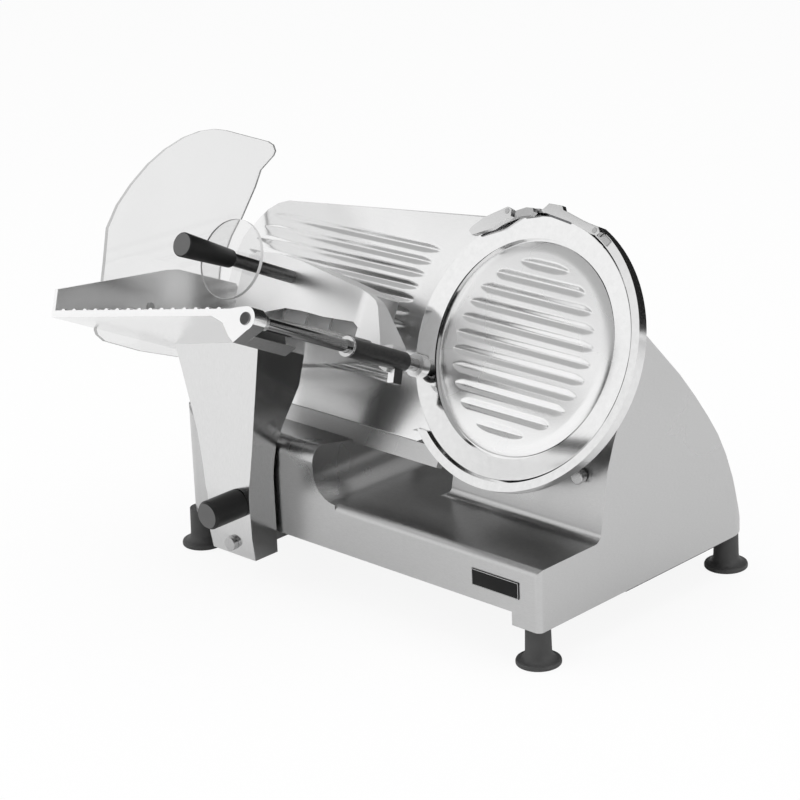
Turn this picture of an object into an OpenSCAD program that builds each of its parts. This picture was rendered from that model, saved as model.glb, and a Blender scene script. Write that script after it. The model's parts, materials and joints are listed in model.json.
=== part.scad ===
// Gravity-feed electric food slicer with a 250 mm blade, millimetres.
// X runs along the carriage travel, -Y is the carriage side, Z is up, Z = 0 is the table.

/* [Base] */
// length of the base along the carriage travel
base_l = 487; // [470:1:500]
// depth of the base front to back
base_d = 318; // [310:1:326]
// front wall position
base_front = -85; // [-90:1:-80]
// underside of the casting over the table
base_z = 39.6; // [36:0.1:44]
// height of the open platform over the table
deck_z = 101; // [99:0.5:104]
// wall thickness of the casting
wall = 5; // [4:0.5:6]
// radius of the upright corners at the back
corner_back = 30; // [26:1:34]
// radius of the upright corner at the front right
corner_front = 6; // [5:0.5:8]
// radius of the upright corner at the front left
corner_left = 48; // [46:1:50]
// height of the control block over the table
block_z = 152; // [150:0.5:154]
// right side of the control block
block_x = -41.5; // [-46:0.5:-38]
// left side of the motor tower
tower_x = 58; // [56:0.5:60]
// raised lower edge of the front wall where the carriage foot passes
slot_z = 53; // [52:0.5:56]
// start of that raised edge, from the left end of the base
slot_left = 49.5; // [48.5:0.5:51.5]
// end of that raised edge, from the right end of the base
slot_right = 33.5; // [32.5:0.5:36.5]

/* [Feet] */
// inset of the feet from the ends of the base
foot_inset_x = 18; // [17:0.5:20]
// inset of the feet from the front and back of the base
foot_inset_y = 18; // [17:0.5:20]
// radius of the foot flange
foot_r = 21.5; // [20:0.5:23]
// radius of the foot stem
foot_stem_r = 12.5; // [11:0.5:13]

/* [Blade] */
// blade radius
blade_r = 125; // [124:0.5:126]
// lean of the blade plane from the vertical
lean = 26; // [25.5:0.1:26.5]
// blade centre along the travel
blade_x = 131.7; // [130:0.1:133]
// blade centre front to back
blade_y = 27.2; // [26:0.1:28]
// blade centre over the table
blade_z = 259.3; // [258:0.1:261]
// radius of the fixed blade cover
cover_r = 102; // [100:0.5:103]
// radius of the recess in the blade that takes the cover
dish_r = 104.5; // [104:0.5:106]
// inner radius of the ring guard
ring_r0 = 127.5; // [127:0.5:128]
// outer radius of the ring guard
ring_r1 = 136; // [135:0.5:137]
// front face of the ring guard over the cover plane
ring_front = 6.5; // [6:0.1:7]

/* [Drive] */
// blade shaft radius
shaft_r = 8.5; // [8:0.5:9]
// radius of the blade pulley
pulley_r = 42; // [40:0.5:43]
// radius of the motor pulley
pinion_r = 11; // [10:0.5:12]
// distance between the two pulley shafts
belt_span = 95; // [94:0.5:96]
// belt thickness
belt_t = 3.2; // [3:0.1:3.6]
// motor radius
motor_r = 42; // [38:1:44]
// motor length
motor_l = 105; // [95:1:110]

/* [Carriage] */
// roll of the tray about the blade normal
tray_roll = 11.6; // [11:0.1:12]
// tray floor thickness
floor_t = 6.5; // [5:0.5:7]
// radius of the rail rod
rail_r = 8; // [7.5:0.5:8.5]
// radius of the pusher rod
rod_r = 6; // [5.5:0.5:6.5]
// outer radius of the pusher tube
tube_r = 9.5; // [9:0.5:10]
// thickness of the clear hand guard
guard_t = 4; // [3:0.5:5]
// radius of the clear disc on the handle
disc_r = 38.5; // [36:0.5:40]

/* [Thickness control] */
// stroke of the gauge plate
gauge_stroke = 15; // [12:0.5:15]
// turn of the knob for the full stroke
knob_turn = 300; // [280:5:320]
// gauge plate thickness
gauge_t = 6; // [5:0.5:6.5]
// knob radius
knob_r = 28; // [24:1:30]

/* [Clearances] */
// radial clearance of running fits
run_fit = 0.05; // [0.02:0.01:0.1]
// radial clearance of fixed fits
set_fit = 0.02; // [0.01:0.01:0.05]
// gap between the belt and the pulleys
belt_gap = 0.4; // [0.3:0.1:0.6]

/* [Hidden] */
$fn = 64;
e = 0.01;
hx = base_l / 2;
base_back = base_front + base_d;
slot_x0 = slot_left - hx;
slot_x1 = hx - slot_right;
foot_x = hx - foot_inset_x;
foot_y0 = base_front + foot_inset_y;
foot_y1 = base_back - foot_inset_y;
ceil_z = deck_z - wall;
tray_top = -11.2;
tray_low = tray_top - floor_t;
tray_a0 = -360;
tray_a1 = -125;
tray_n0 = 12;
tray_n1 = 260;
ear_n = tray_n1 - 16;
rod_a = -109.6;
rod_m = -20.3;
rod_x = rod_a * cos(tray_roll) - rod_m * sin(tray_roll);
rod_s = rod_a * sin(tray_roll) + rod_m * cos(tray_roll);
hood_n0 = 26;
hood_n1 = 74;
tube_n0 = 39;
tube_n1 = 119;
key_w = 4;
key_low = 22.7;
key_n0 = 42.7;
key_n1 = 54.6;
handle_x = -239.7;
handle_s = 8.3;
ring_rear = -5;
ring_seat = -11;
ring_back = -8.5;
ring_end = 118;
ring_start = 67;
ring_top = 131;
ring_low = -99;
edge_n = 3.5;
stone_n = ring_front + 0.4;
lever_n = stone_n + 2;
pin_left = [-50, 120.5];
pin_right = [56, 120.5];
wall_n = -25;
hub_r = 118;
hub_x = -60;
fillet_r = 9;
tower_front = 3.5;
deck_round = 7;
flute_p = 15.8;
flute_d = 1.4;
flute_r = 7.1;
function flute_half(i) = sqrt(85 * 85 - i * i * flute_p * flute_p) - 3;
groove_p = 13;
groove_tilt = 0.9;
groove_end = 147;
function groove_s(i) = 72.6 - i * groove_p;
bump_r = 56;
bump_n = -80;
cup_n = -125;
cup_r = 26;
pulley_n0 = -64;
pulley_n1 = -52;
motor_n1 = -88;
motor_n0 = motor_n1 - motor_l;
rail_y = -45;
rail_z = 66;
bar_z = 50;
roller_r = 9;
roller_x = -118;
cam_n = -60;
cam_s = -158;
cam_y = blade_y + cam_s * sin(lean) - cam_n * cos(lean);
cam_z = blade_z + cam_s * cos(lean) + cam_n * sin(lean);
cam_r = 27.5;
pin_r = 4;
gauge_rod_x = [-338, -238];
blade_to_end = -hx + wall - blade_x;
knob_x = -108.7;
knob_z = 91.2;
bolt_x = -121;
bolt_z = 46;
bolt_seat = -120.4;
foot_top = slot_z - 2;
btn_y = [120, 150];
btn_z = 71;
tower_bolt_x = hx - 28.7;
tower_bolt_z = 158;
gland_x = 20;
gland_z = 68;
cover_screw_x = [-150, -10];
stud_in = 10;
rail_x0 = slot_x0 + 1;
rail_x1 = hx - 36.5;
bracket_l = 17;
switch_d = 33.5;
press = 3;

// blade frame: x along the travel, y up the blade plane, z the blade normal
module bf() {
  translate([blade_x, blade_y, blade_z])
    rotate([90 - lean, 0, 0])
      children();
}

// tray frame: the blade frame rolled about the blade normal
module tf() {
  bf()
    rotate([0, 0, tray_roll])
      children();
}

// box between two corners
module box(p, q) {
  translate(p)
    cube([q[0] - p[0], q[1] - p[1], q[2] - p[2]]);
}

// section in (Y, Z) carried along X
module along_x(x0, x1) {
  translate([x0, 0, 0])
    rotate([90, 0, 90])
      linear_extrude(x1 - x0)
        children();
}

// section in (X, Z) carried along Y
module along_y(y0, y1) {
  translate([0, y1, 0])
    rotate([90, 0, 0])
      linear_extrude(y1 - y0)
        children();
}

// cylinder along X
module rod_along_x(x0, x1, r) {
  translate([x0, 0, 0])
    rotate([0, 90, 0])
      cylinder(r = r, h = x1 - x0);
}

// cylinder along Y
module rod_along_y(y0, y1, r) {
  translate([0, y1, 0])
    rotate([90, 0, 0])
      cylinder(r = r, h = y1 - y0);
}

// upright block with rounded corners, wall inset ins
module plan_block(ins, z0, z1) {
  x1 = hx - ins;
  y0 = base_front + ins;
  y1 = base_back - ins;
  rb = corner_back - ins;
  rf = max(corner_front - ins, 1);
  rl = corner_left - ins;
  box([-x1, y0 + rl, z0], [x1, y1 - rb, z1]);
  box([-x1 + rl, y0, z0], [x1 - rf, y0 + rl + e, z1]);
  box([x1 - rf - e, y0 + rf, z0], [x1, y0 + rl + e, z1]);
  box([-x1 + rb, y1 - rb - e, z0], [x1 - rb, y1, z1]);
  translate([x1 - rf, y0 + rf, z0])
    cylinder(r = rf, h = z1 - z0);
  translate([-x1 + rl, y0 + rl, z0])
    cylinder(r = rl, h = z1 - z0);
  for (s = [-1, 1])
    translate([s * (x1 - rb), y1 - rb, z0])
      cylinder(r = rb, h = z1 - z0);
}

// tower section, outside
module tower_out() {
  polygon([[tower_front, base_z], [tower_front, deck_z + fillet_r], [5.5, 121], [13.6, 168], [23, 193.6],
    [67.4, 284.6], [69.2, 285.4], [73.7, 280.7], [96.9, 255.9], [120.5, 231],
    [143, 203.6], [162.9, 177.1], [178.4, 154.2], [191, 129.9], [base_back - 31.5, 103],
    [base_back - 24, 77.6], [base_back - 17, 60], [base_back - 9, 46], [base_back - 7, base_z]]);
}

// tower section, inside
module tower_in() {
  polygon([[tower_front + wall, base_z - 1], [tower_front + wall, deck_z + fillet_r], [10.5, 121],
    [18.6, 168], [28.5, 193.5], [67.8, 274], [70, 274.5],
    [93, 249.8], [116.5, 225], [139, 199], [158.6, 172.6], [173.8, 150], [186, 126.5],
    [base_back - 36.7, 100.5], [base_back - 29.2, 75.5], [base_back - 22.2, 57.5],
    [base_back - 14.6, 44], [base_back - 13, base_z - 1]]);
}

// control block section, outside, with a rounded front rim
module block_out() {
  r = 15;
  polygon(concat([[base_front, 90]],
    [for (a = [180:-15:90]) [base_front + r + r * cos(a), block_z - r + r * sin(a)]],
    [[-30, block_z - 7], [48, block_z - 14], [48, 90]]));
}

// control block section, inside
module block_in() {
  r = 10;
  polygon(concat([[base_front + wall, 60]],
    [for (a = [180:-15:90]) [base_front + wall + r + r * cos(a), block_z - wall - r + r * sin(a)]],
    [[-30, block_z - 7 - wall], [48 - wall, block_z - 14 - wall], [48 - wall, 60]]));
}

// concave fillet along the left foot of the tower, from y0 to the back
module foot_left(y0) {
  difference() {
    box([tower_x - fillet_r, y0, deck_z - e], [tower_x + e, 196, deck_z + fillet_r]);
    translate([tower_x - fillet_r, 0, deck_z + fillet_r])
      rod_along_y(y0 - 1, 197, fillet_r);
  }
}

// concave fillet along the front foot of the tower, from x0 to the right
module foot_front(x0) {
  difference() {
    box([x0, tower_front - fillet_r, deck_z - e], [hx, tower_front + e, deck_z + fillet_r]);
    translate([0, tower_front - fillet_r, deck_z + fillet_r])
      rod_along_x(x0 - 1, hx + 1, fillet_r);
  }
}

module base_casting() {
  color([0.72, 0.72, 0.72])
  difference() {
    union() {
      difference() {
        union() {
          difference() {
            plan_block(0, base_z, deck_z);
            // the back leans forward behind the tower
            box([tower_x, 60, base_z - 1], [hx + 1, base_back + 1, deck_z + 1]);
          }
          intersection() {
            union() {
              along_x(-hx, block_x) block_out();
              along_x(tower_x, hx) tower_out();
            }
            plan_block(0, base_z, 300);
          }
          // concave fillet between the block and the platform
          difference() {
            box([block_x - e, base_front, deck_z - e], [block_x + 28, 48, deck_z + 28]);
            translate([block_x + 28, 0, deck_z + 28])
              rod_along_y(base_front - 1, 49, 28);
          }
          foot_left(tower_front);
          foot_front(tower_x);
          intersection() {
            foot_left(tower_front - fillet_r);
            foot_front(tower_x - fillet_r);
          }
          // round housing behind the blade shaft
          bf()
            translate([0, 0, bump_n])
              cylinder(r = bump_r, h = wall_n - bump_n);
          // neck and rim that carry the ring guard
          bf()
            difference() {
              union() {
                translate([0, 0, wall_n - 1])
                  cylinder(r = 46, h = ring_seat - wall_n + 1);
                difference() {
                  translate([0, 0, wall_n - 1])
                    cylinder(r = hub_r, h = ring_seat - wall_n + 1, $fn = 128);
                  translate([0, 0, wall_n - 2])
                    cylinder(r = hub_r - wall, h = 40, $fn = 128);
                }
              }
              box([-140, -140, wall_n - 2], [hub_x, 140, 0]);
            }
          // fixed ledge under the gauge plate
          bf()
            difference() {
              box([-372, -130, -8], [-62, -111.6, 0]);
              translate([0, 0, -10])
                cylinder(r = ring_r1 + 1.5, h = 20, $fn = 128);
            }
        }
        difference() {
          plan_block(wall, base_z - 1, ceil_z);
          box([tower_x - wall, 60, base_z - 2], [hx + 1, base_back + 1, deck_z]);
        }
        intersection() {
          union() {
            along_x(-hx + wall, block_x - wall) block_in();
            along_x(tower_x + wall, hx - wall) tower_in();
          }
          plan_block(wall, base_z - 1, 300);
        }
        bf()
          translate([0, 0, bump_n + wall])
            cylinder(r = bump_r - wall, h = wall_n - wall - bump_n - wall);
        // rounded front edge of the platform
        difference() {
          box([block_x + 28, base_front - 1, deck_z - deck_round],
            [hx + 1, base_front + deck_round, deck_z + 1]);
          translate([0, base_front + deck_round, deck_z - deck_round])
            rod_along_x(block_x, hx + 2, deck_round);
        }
        // raised lower edge of the front wall
        box([slot_x0, base_front - 1, base_z - 1], [slot_x1, base_front + wall + 1, slot_z]);
      }
      for (x = [-foot_x, foot_x])
        for (y = [foot_y0, foot_y1])
          intersection() {
            translate([x, y, base_z])
              cylinder(r = 14, h = ceil_z - base_z + e);
            plan_block(0, base_z, deck_z);
            union() {
              along_x(tower_x, hx) tower_out();
              box([-hx, base_front, base_z], [hx, 60, deck_z]);
              box([-hx, base_front, base_z], [tower_x, base_back, deck_z]);
            }
          }
      // cup around the knob of the blade cover
      intersection() {
        bf()
          translate([0, 0, cup_n - 120])
            cylinder(r = cup_r + 4, h = 120 + wall);
        along_x(tower_x, hx) tower_out();
      }
    }
    // threaded holes for the feet
    for (x = [-foot_x, foot_x])
      for (y = [foot_y0, foot_y1])
        translate([x, y, base_z - 1])
          cylinder(r = 4 + set_fit, h = stud_in + 2);
    // bearing housing seat and tie rod hole
    bf() {
      translate([0, 0, wall_n - wall - 1])
        cylinder(r = 30 + set_fit, h = ring_seat - wall_n + wall + 2);
      translate([0, 0, bump_n - 1])
        cylinder(r = 6, h = wall + 2);
      translate([0, 0, cup_n - 140])
        cylinder(r = cup_r, h = 140);
      translate([0, 0, cup_n - 1])
        cylinder(r = 6, h = 26);
      // passage for the gauge plate bracket
      box([-306, -156, -37], [-254, -112, -8.5]);
    }
    // cam shaft hole, switch cut-out and cable hole
    translate([0, cam_y, cam_z])
      rod_along_x(-hx - 1, -hx + wall + 1, 5 + run_fit);
    box([-hx - 1, btn_y[0] - 14, btn_z - 12], [-hx + wall + 1, btn_y[1] + 14, btn_z + 12]);
    translate([gland_x, 0, gland_z])
      rod_along_y(base_back - wall - 1, base_back + 1, 8 + set_fit);
    // hole of the bolt under the ring guard
    translate([tower_bolt_x, 0, tower_bolt_z])
      rod_along_y(2, 26, 4 + set_fit);
    // screw holes of the bottom cover
    for (x = cover_screw_x)
      translate([x, base_back - 2.5 - wall / 2, base_z - 1])
        cylinder(r = 1.6, h = 9);
  }
}

module bottom_cover() {
  color([0.08, 0.08, 0.08])
  difference() {
    union() {
      box([-hx + 4, 43, base_z - 3.5], [tower_x, base_back - 2, base_z]);
      box([tower_x - e, 43, base_z - 3.5], [hx - 4, base_back - 10, base_z]);
    }
    for (s = [-1, 1])
      translate([s * foot_x, foot_y1, base_z - 5])
        cylinder(r = 30, h = 8);
    for (x = cover_screw_x)
      translate([x, base_back - 2.5 - wall / 2, base_z - 5])
        cylinder(r = 1.7, h = 8);
  }
}

module bottom_screws() {
  color([0.6, 0.6, 0.6])
  for (x = cover_screw_x)
    translate([x, base_back - 2.5 - wall / 2, 0]) {
      translate([0, 0, base_z - 5.5])
        cylinder(r = 3, h = 2);
      translate([0, 0, base_z - 5.5])
        cylinder(r = 1.5, h = 12);
    }
}

module rubber_feet() {
  color([0.16, 0.16, 0.16])
  for (x = [-foot_x, foot_x])
    for (y = [foot_y0, foot_y1])
      translate([x, y, 0])
        rotate_extrude()
          polygon([[8, 0], [foot_r - 1, 0], [foot_r, 1], [foot_r, 3.2], [foot_r - 2, 5],
            [foot_stem_r + 1, 9], [foot_stem_r, 14], [foot_stem_r - 0.6, base_z],
            [4 + set_fit, base_z], [4 + set_fit, 12], [8, 12]]);
}

module foot_studs() {
  color([0.6, 0.6, 0.6])
  for (x = [-foot_x, foot_x])
    for (y = [foot_y0, foot_y1])
      translate([x, y, 0]) {
        translate([0, 0, 8])
          cylinder(r = 6.5, h = 4, $fn = 6);
        translate([0, 0, 10])
          cylinder(r = 4, h = base_z + stud_in - 10);
      }
}

module badge_plate() {
  color([0.05, 0.05, 0.05])
  box([hx - 81, base_front - 1.2, 67.5], [hx - 24, base_front, 84]);
}

module tower_bolt() {
  color([0.7, 0.7, 0.7])
  translate([tower_bolt_x, 0, tower_bolt_z]) {
    rod_along_y(3, 10.4, 7);
    rod_along_y(9, 24, 4);
  }
}

module cable_gland() {
  color([0.08, 0.08, 0.08])
  difference() {
    translate([gland_x, 0, gland_z]) {
      rod_along_y(base_back - 14, base_back + 12, 8);
      translate([0, base_back + 7, 0])
        rotate([90, 0, 0])
          cylinder(r = 12, h = 7, $fn = 6);
      rod_along_y(base_back - wall - 5, base_back - wall, 11);
    }
    translate([gland_x, 0, gland_z])
      rod_along_y(base_back - 20, base_back + 20, 4);
  }
}

module switch_bezel() {
  color([0.1, 0.1, 0.1])
  difference() {
    union() {
      box([-hx - 3, btn_y[0] - 20, btn_z - 17], [-hx, btn_y[1] + 20, btn_z + 17]);
      box([-hx - e, btn_y[0] - 13.9, btn_z - 11.9], [-hx + wall, btn_y[1] + 13.9, btn_z + 11.9]);
    }
    for (y = btn_y)
      translate([0, y, btn_z])
        rod_along_x(-hx - 4, -hx + wall + 1, 9.4);
  }
}

module switch_block() {
  color([0.14, 0.14, 0.14])
  difference() {
    box([-hx + wall, btn_y[0] - 18, btn_z - 14], [-hx + wall + switch_d, btn_y[1] + 18, btn_z + 14]);
    for (y = btn_y)
      translate([0, y, btn_z])
        rod_along_x(-hx + wall - 1, -hx + wall + 11.5 + press, 9.4);
  }
}

module button_at(y) {
  translate([0, y, btn_z]) {
    rod_along_x(-hx - 8, -hx + wall + 9.5, 9);
  }
}

module start_button() {
  color([0.85, 0.85, 0.85])
  button_at(btn_y[0]);
}

module stop_button() {
  color([0.12, 0.12, 0.12])
  button_at(btn_y[1]);
}

module rail_rod() {
  color([0.8, 0.8, 0.8])
  translate([0, rail_y, rail_z])
    rod_along_x(rail_x0 - 1, rail_x1 + 1, rail_r);
}

module rail_brackets() {
  color([0.5, 0.5, 0.5])
  for (b = [[rail_x0, rail_z + 13], [rail_x1 - bracket_l, ceil_z]])
    difference() {
      union() {
        box([b[0], rail_y - 13, rail_z - 13], [b[0] + bracket_l, rail_y + 13, b[1]]);
        box([b[0], base_front + wall, rail_z - 5], [b[0] + bracket_l, rail_y, rail_z + 13]);
        box([b[0], rail_y, b[1] - 10], [b[0] + bracket_l, 8, b[1]]);
        box([b[0], -8, bar_z], [b[0] + bracket_l, 8, b[1]]);
      }
      translate([0, rail_y, rail_z])
        rod_along_x(b[0] - 1, b[0] + bracket_l + 1, rail_r + set_fit);
    }
}

module guide_bar() {
  color([0.7, 0.7, 0.7])
  box([rail_x0, -8, bar_z - 6], [rail_x1, 8, bar_z]);
}

module ring_guard() {
  color([0.82, 0.82, 0.82])
  bf()
    difference() {
      union() {
        translate([0, 0, ring_rear])
          cylinder(r = ring_r1, h = ring_front - ring_rear, $fn = 128);
        translate([0, 0, ring_seat])
          cylinder(r = ring_top, h = ring_rear - ring_seat + e, $fn = 128);
      }
      // lower rim under the sharpener
      translate([0, 0, ring_rear - 1])
        difference() {
          linear_extrude(40)
            polygon([[0, 0], [300 * cos(ring_start), 300 * sin(ring_start)],
              [300 * cos(ring_end + 5), 300 * sin(ring_end + 5)]]);
          translate([0, 0, -1])
            cylinder(r = ring_top, h = 42, $fn = 128);
        }
      translate([0, 0, ring_back])
        cylinder(r = ring_r0, h = 40, $fn = 128);
      translate([0, 0, ring_seat - 1])
        cylinder(r = 34, h = 10);
      // open on the cutting side
      translate([0, 0, ring_back])
        linear_extrude(40)
          polygon([[0, 0], [300 * cos(ring_end), 300 * sin(ring_end)], [-300, 300 * sin(ring_end)],
            [-300, ring_low], [-40, ring_low]]);
      box([-150, -150, ring_seat - 1], [hub_x, 150, ring_back + e]);
    }
}

module deflector() {
  color([0.75, 0.75, 0.75])
  bf()
    difference() {
      union() {
        box([-108, -62, ring_seat - 3.5], [-56, 56, ring_seat - 2]);
        box([-58, -62, ring_seat - 3.5], [-56, 56, ring_seat]);
        box([-58, -62, ring_seat - 1.5], [-44, 56, ring_seat]);
      }
      translate([0, 0, -22])
        cylinder(r = 47, h = 20);
    }
}

module bearing_housing() {
  color([0.6, 0.6, 0.6])
  bf()
    difference() {
      union() {
        translate([0, 0, -51])
          cylinder(r = 30, h = 27);
        translate([0, 0, wall_n - wall - 4])
          cylinder(r = 40, h = 4);
      }
      translate([0, 0, -49.5])
        cylinder(r = 20 + set_fit, h = 30);
      translate([0, 0, -52])
        cylinder(r = 14, h = 5);
    }
}

module bearings() {
  color([0.7, 0.7, 0.7])
  bf()
    for (z = [-49.5, -37])
      translate([0, 0, z])
        difference() {
          cylinder(r = 20, h = 12);
          translate([0, 0, -1])
            cylinder(r = shaft_r + run_fit, h = 14);
        }
}

// closed belt outline around two pulleys
module belt_loop(r1, r2) {
  k = (r1 - r2) / belt_span;
  c = sqrt(1 - k * k);
  circle(r = r1);
  translate([0, -belt_span])
    circle(r = r2);
  polygon([[r1 * c, -r1 * k], [r2 * c, -belt_span - r2 * k], [-r2 * c, -belt_span - r2 * k],
    [-r1 * c, -r1 * k]]);
}

module drive_belt() {
  color([0.1, 0.1, 0.1])
  bf()
    translate([0, 0, pulley_n0 + 1])
      linear_extrude(pulley_n1 - pulley_n0 - 2)
        difference() {
          belt_loop(pulley_r + belt_gap + belt_t, pinion_r + belt_gap + belt_t);
          belt_loop(pulley_r + belt_gap, pinion_r + belt_gap);
        }
}

module motor_body() {
  color([0.25, 0.25, 0.25])
  difference() {
    union() {
      bf()
        translate([0, -belt_span, motor_n0]) {
          cylinder(r = motor_r, h = motor_l);
          cylinder(r = 16, h = motor_l + 8);
        }
      difference() {
        box([blade_x - 30, 100, base_z], [blade_x + 30, 150, 90]);
        bf()
          translate([0, -belt_span, motor_n0 - 40])
            cylinder(r = motor_r - 4, h = motor_l + 80);
      }
    }
    bf()
      translate([0, -belt_span, motor_n1 - 20])
        cylinder(r = 5 + run_fit, h = 40);
  }
}

module blade_cover() {
  color([0.78, 0.78, 0.78])
  bf()
    difference() {
      translate([0, 0, -3])
        cylinder(r = cover_r, h = 4, $fn = 128);
      translate([0, 0, -4])
        cylinder(r = 4 + set_fit, h = 3);
      for (i = [-5:5])
        translate([0, i * flute_p, 1 - flute_d + flute_r])
          rod_along_x(-flute_half(i), flute_half(i), flute_r);
    }
}

module cover_tie_rod() {
  color([0.7, 0.7, 0.7])
  bf()
    translate([0, 0, cup_n - 21])
      cylinder(r = 4, h = -cup_n + 20);
}

module cover_knob() {
  color([0.08, 0.08, 0.08])
  bf()
    difference() {
      union() {
        translate([0, 0, cup_n - 26])
          cylinder(r = 17, h = 20);
        translate([0, 0, cup_n - 7])
          cylinder(r = 9, h = 6.6);
      }
      translate([0, 0, cup_n - 22])
        cylinder(r = 4 + run_fit, h = 30);
    }
}

// strip on the front of the ring guard between two angles, out to radius r
module ring_strip(from, to, r) {
  translate([0, 0, ring_front])
    intersection() {
      difference() {
        cylinder(r = r, h = 1.5, $fn = 128);
        translate([0, 0, -1])
          cylinder(r = ring_r0 + 1, h = 4, $fn = 128);
      }
      linear_extrude(3)
        polygon([[0, 0], [300 * cos(from), 300 * sin(from)], [300 * cos(to), 300 * sin(to)]]);
    }
}

module sharpener_body() {
  color([0.55, 0.55, 0.55])
  bf() {
    ring_strip(58, ring_start, ring_r1 - 1);
    ring_strip(ring_start - 0.5, 72, ring_top);
    ring_strip(98, 116.5, ring_top);
    translate([0, 0, ring_front + 1])
      linear_extrude(6.5)
        polygon([[-40.5, 119], [-40.5, 122.5], [-29.5, 127.7], [-21.5, 128.5], [-19.5, 125], [-22.5, 121.1],
          [-37, 117]]);
    for (p = [pin_left, pin_right])
      translate([p[0], p[1], ring_front])
        cylinder(r = 2.5, h = 8.7);
  }
}

module sharpener_lever_left() {
  color([0.8, 0.8, 0.8])
  bf()
    difference() {
      translate([0, 0, lever_n])
        linear_extrude(6)
          polygon([[-84, 91], [-89, 94.4], [-87.1, 98.5], [-75.4, 109.9], [-57, 121], [-51, 124.5],
            [-45.5, 123], [-44.1, 116.3], [-62.6, 101]]);
      translate([pin_left[0], pin_left[1], 0])
        cylinder(r = 2.5 + run_fit, h = 30);
    }
}

module sharpener_lever_right() {
  color([0.8, 0.8, 0.8])
  bf()
    difference() {
      translate([0, 0, lever_n])
        linear_extrude(6)
          polygon([[-9.6, 128.8], [-3.8, 135.7], [12.2, 136.2], [14.6, 132.6], [40.8, 126.6], [59.2, 124.5],
            [62.5, 120], [59, 116], [53, 116.5], [25.1, 123.2], [-5.7, 126.5]]);
      translate([pin_right[0], pin_right[1], 0])
        cylinder(r = 2.5 + run_fit, h = 30);
    }
}

module grinding_stone() {
  color([0.2, 0.2, 0.2])
  bf()
    translate([0, 0, stone_n])
      linear_extrude(lever_n - stone_n)
        polygon([[-84, 91.5], [-64, 102.5], [-66, 106.5], [-86.5, 95]]);
}

module honing_stone() {
  color([0.3, 0.3, 0.3])
  bf()
    translate([0, 0, stone_n])
      linear_extrude(lever_n - stone_n)
        polygon([[-5, 124.5], [22, 121.5], [22, 126], [-5, 129.5]]);
}

module gauge_frame() {
  color([0.45, 0.45, 0.45])
  difference() {
    union() {
      bf() {
        box([-346.5, -178, 18], [-205, -147, 26]);
        box([blade_to_end, -172, -50], [-318, -147, -42]);
        box([-262, -172, -50], [-205, -147, -42]);
      }
      // lug on the front wall
      box([rail_x0, base_front + wall, 107], [-80, -62, 115]);
    }
    bf()
      for (x = gauge_rod_x)
        translate([x, -162, -60])
          cylinder(r = 6 + set_fit, h = 100);
  }
}

module gauge_rods() {
  color([0.8, 0.8, 0.8])
  bf()
    for (x = gauge_rod_x)
      translate([x, -162, -52])
        cylinder(r = 6, h = 80);
}

module slide_block() {
  color([0.55, 0.55, 0.55])
  difference() {
    union() {
      box([-160, rail_y - 17, 44], [-78, rail_y + 17, 84]);
      box([-151, -89, 37], [-108, rail_y + 17, foot_top]);
    }
    translate([0, rail_y, rail_z])
      rod_along_x(-161, -77, 11 + set_fit);
    translate([roller_x, 0, bar_z + 0.4 + roller_r])
      rod_along_y(rail_y + 12.5, rail_y + 18, 3 + set_fit);
    translate([bolt_x, 0, bolt_z])
      rod_along_y(-90, -68, 4 + set_fit);
  }
}

module slide_bushings() {
  color([0.7, 0.6, 0.35])
  translate([0, rail_y, rail_z])
    for (x = [-160, -103])
      difference() {
        rod_along_x(x, x + 25, 11);
        rod_along_x(x - 1, x + 26, rail_r + run_fit);
      }
}

module roller_axle() {
  color([0.7, 0.7, 0.7])
  translate([roller_x, 0, bar_z + 0.4 + roller_r])
    rod_along_y(rail_y + 12.5, 8, 3);
}

module guide_roller() {
  color([0.85, 0.85, 0.82])
  translate([roller_x, 0, bar_z + 0.4 + roller_r])
    difference() {
      rod_along_y(-6, 6, roller_r);
      rod_along_y(-7, 7, 3 + run_fit);
    }
}

// side view of the arm in (Y, Z), wall inset i
module arm_side(i) {
  polygon([[-119 + i, 33 + i], [-122 + i, 57], [-123 + i, 99], [-121 + i, 120], [-119.5 + i, 148],
    [-118 + i, 197], [-116 + i, 262], [-42 - i, 262], [-52 - i, 236], [-58 - i, 200],
    [-78 - i, 165], [-87 - i, 145], [-89 - i, 125], [-89 - i, 33 + i]]);
}

// front view of the arm in (X, Z), wall inset i on the right
module arm_front(i, left) {
  polygon([[-92.5 - i, 33 + i], [-92.5 - i, 112], [-88 - i, 150], [-82 - i, 200], [-74 - i, 262],
    [-201 - left, 262], [-184 - left, 213], [-165 - left, 153], [-152 - left, 90],
    [-153.5 - left, 50], [-152 - left, 33 + i]]);
}

module carriage_arm() {
  color([0.85, 0.85, 0.85])
  difference() {
    intersection() {
      along_x(-230, -60) arm_side(0);
      along_y(-140, -30) arm_front(0, 0);
    }
    intersection() {
      along_x(-320, -60) arm_side(4);
      along_y(-140, -30) arm_front(4, 60);
    }
    tf()
      box([-600, tray_low, -200], [200, 200, 400]);
    translate([knob_x, 0, knob_z])
      rod_along_y(-130, -110, 4 + run_fit);
    translate([bolt_x, 0, bolt_z]) {
      rod_along_y(-130, -80, 4 + set_fit);
      rod_along_y(-130, bolt_seat, 7.5);
    }
  }
}

module arm_bolt() {
  color([0.75, 0.75, 0.75])
  translate([bolt_x, 0, bolt_z]) {
    rod_along_y(bolt_seat - 6, bolt_seat, 7);
    rod_along_y(bolt_seat - 1, -68, 4);
  }
}

module lock_knob() {
  color([0.1, 0.1, 0.1])
  translate([knob_x, 0, knob_z]) {
    rod_along_y(-150, -106, 4);
    rod_along_y(-161.4, -123.4, 14.4);
    translate([0, -161.4 + e, 0])
      rotate([90, 0, 0])
        cylinder(r1 = 14.4, r2 = 12.3, h = 3);
  }
}

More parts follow.
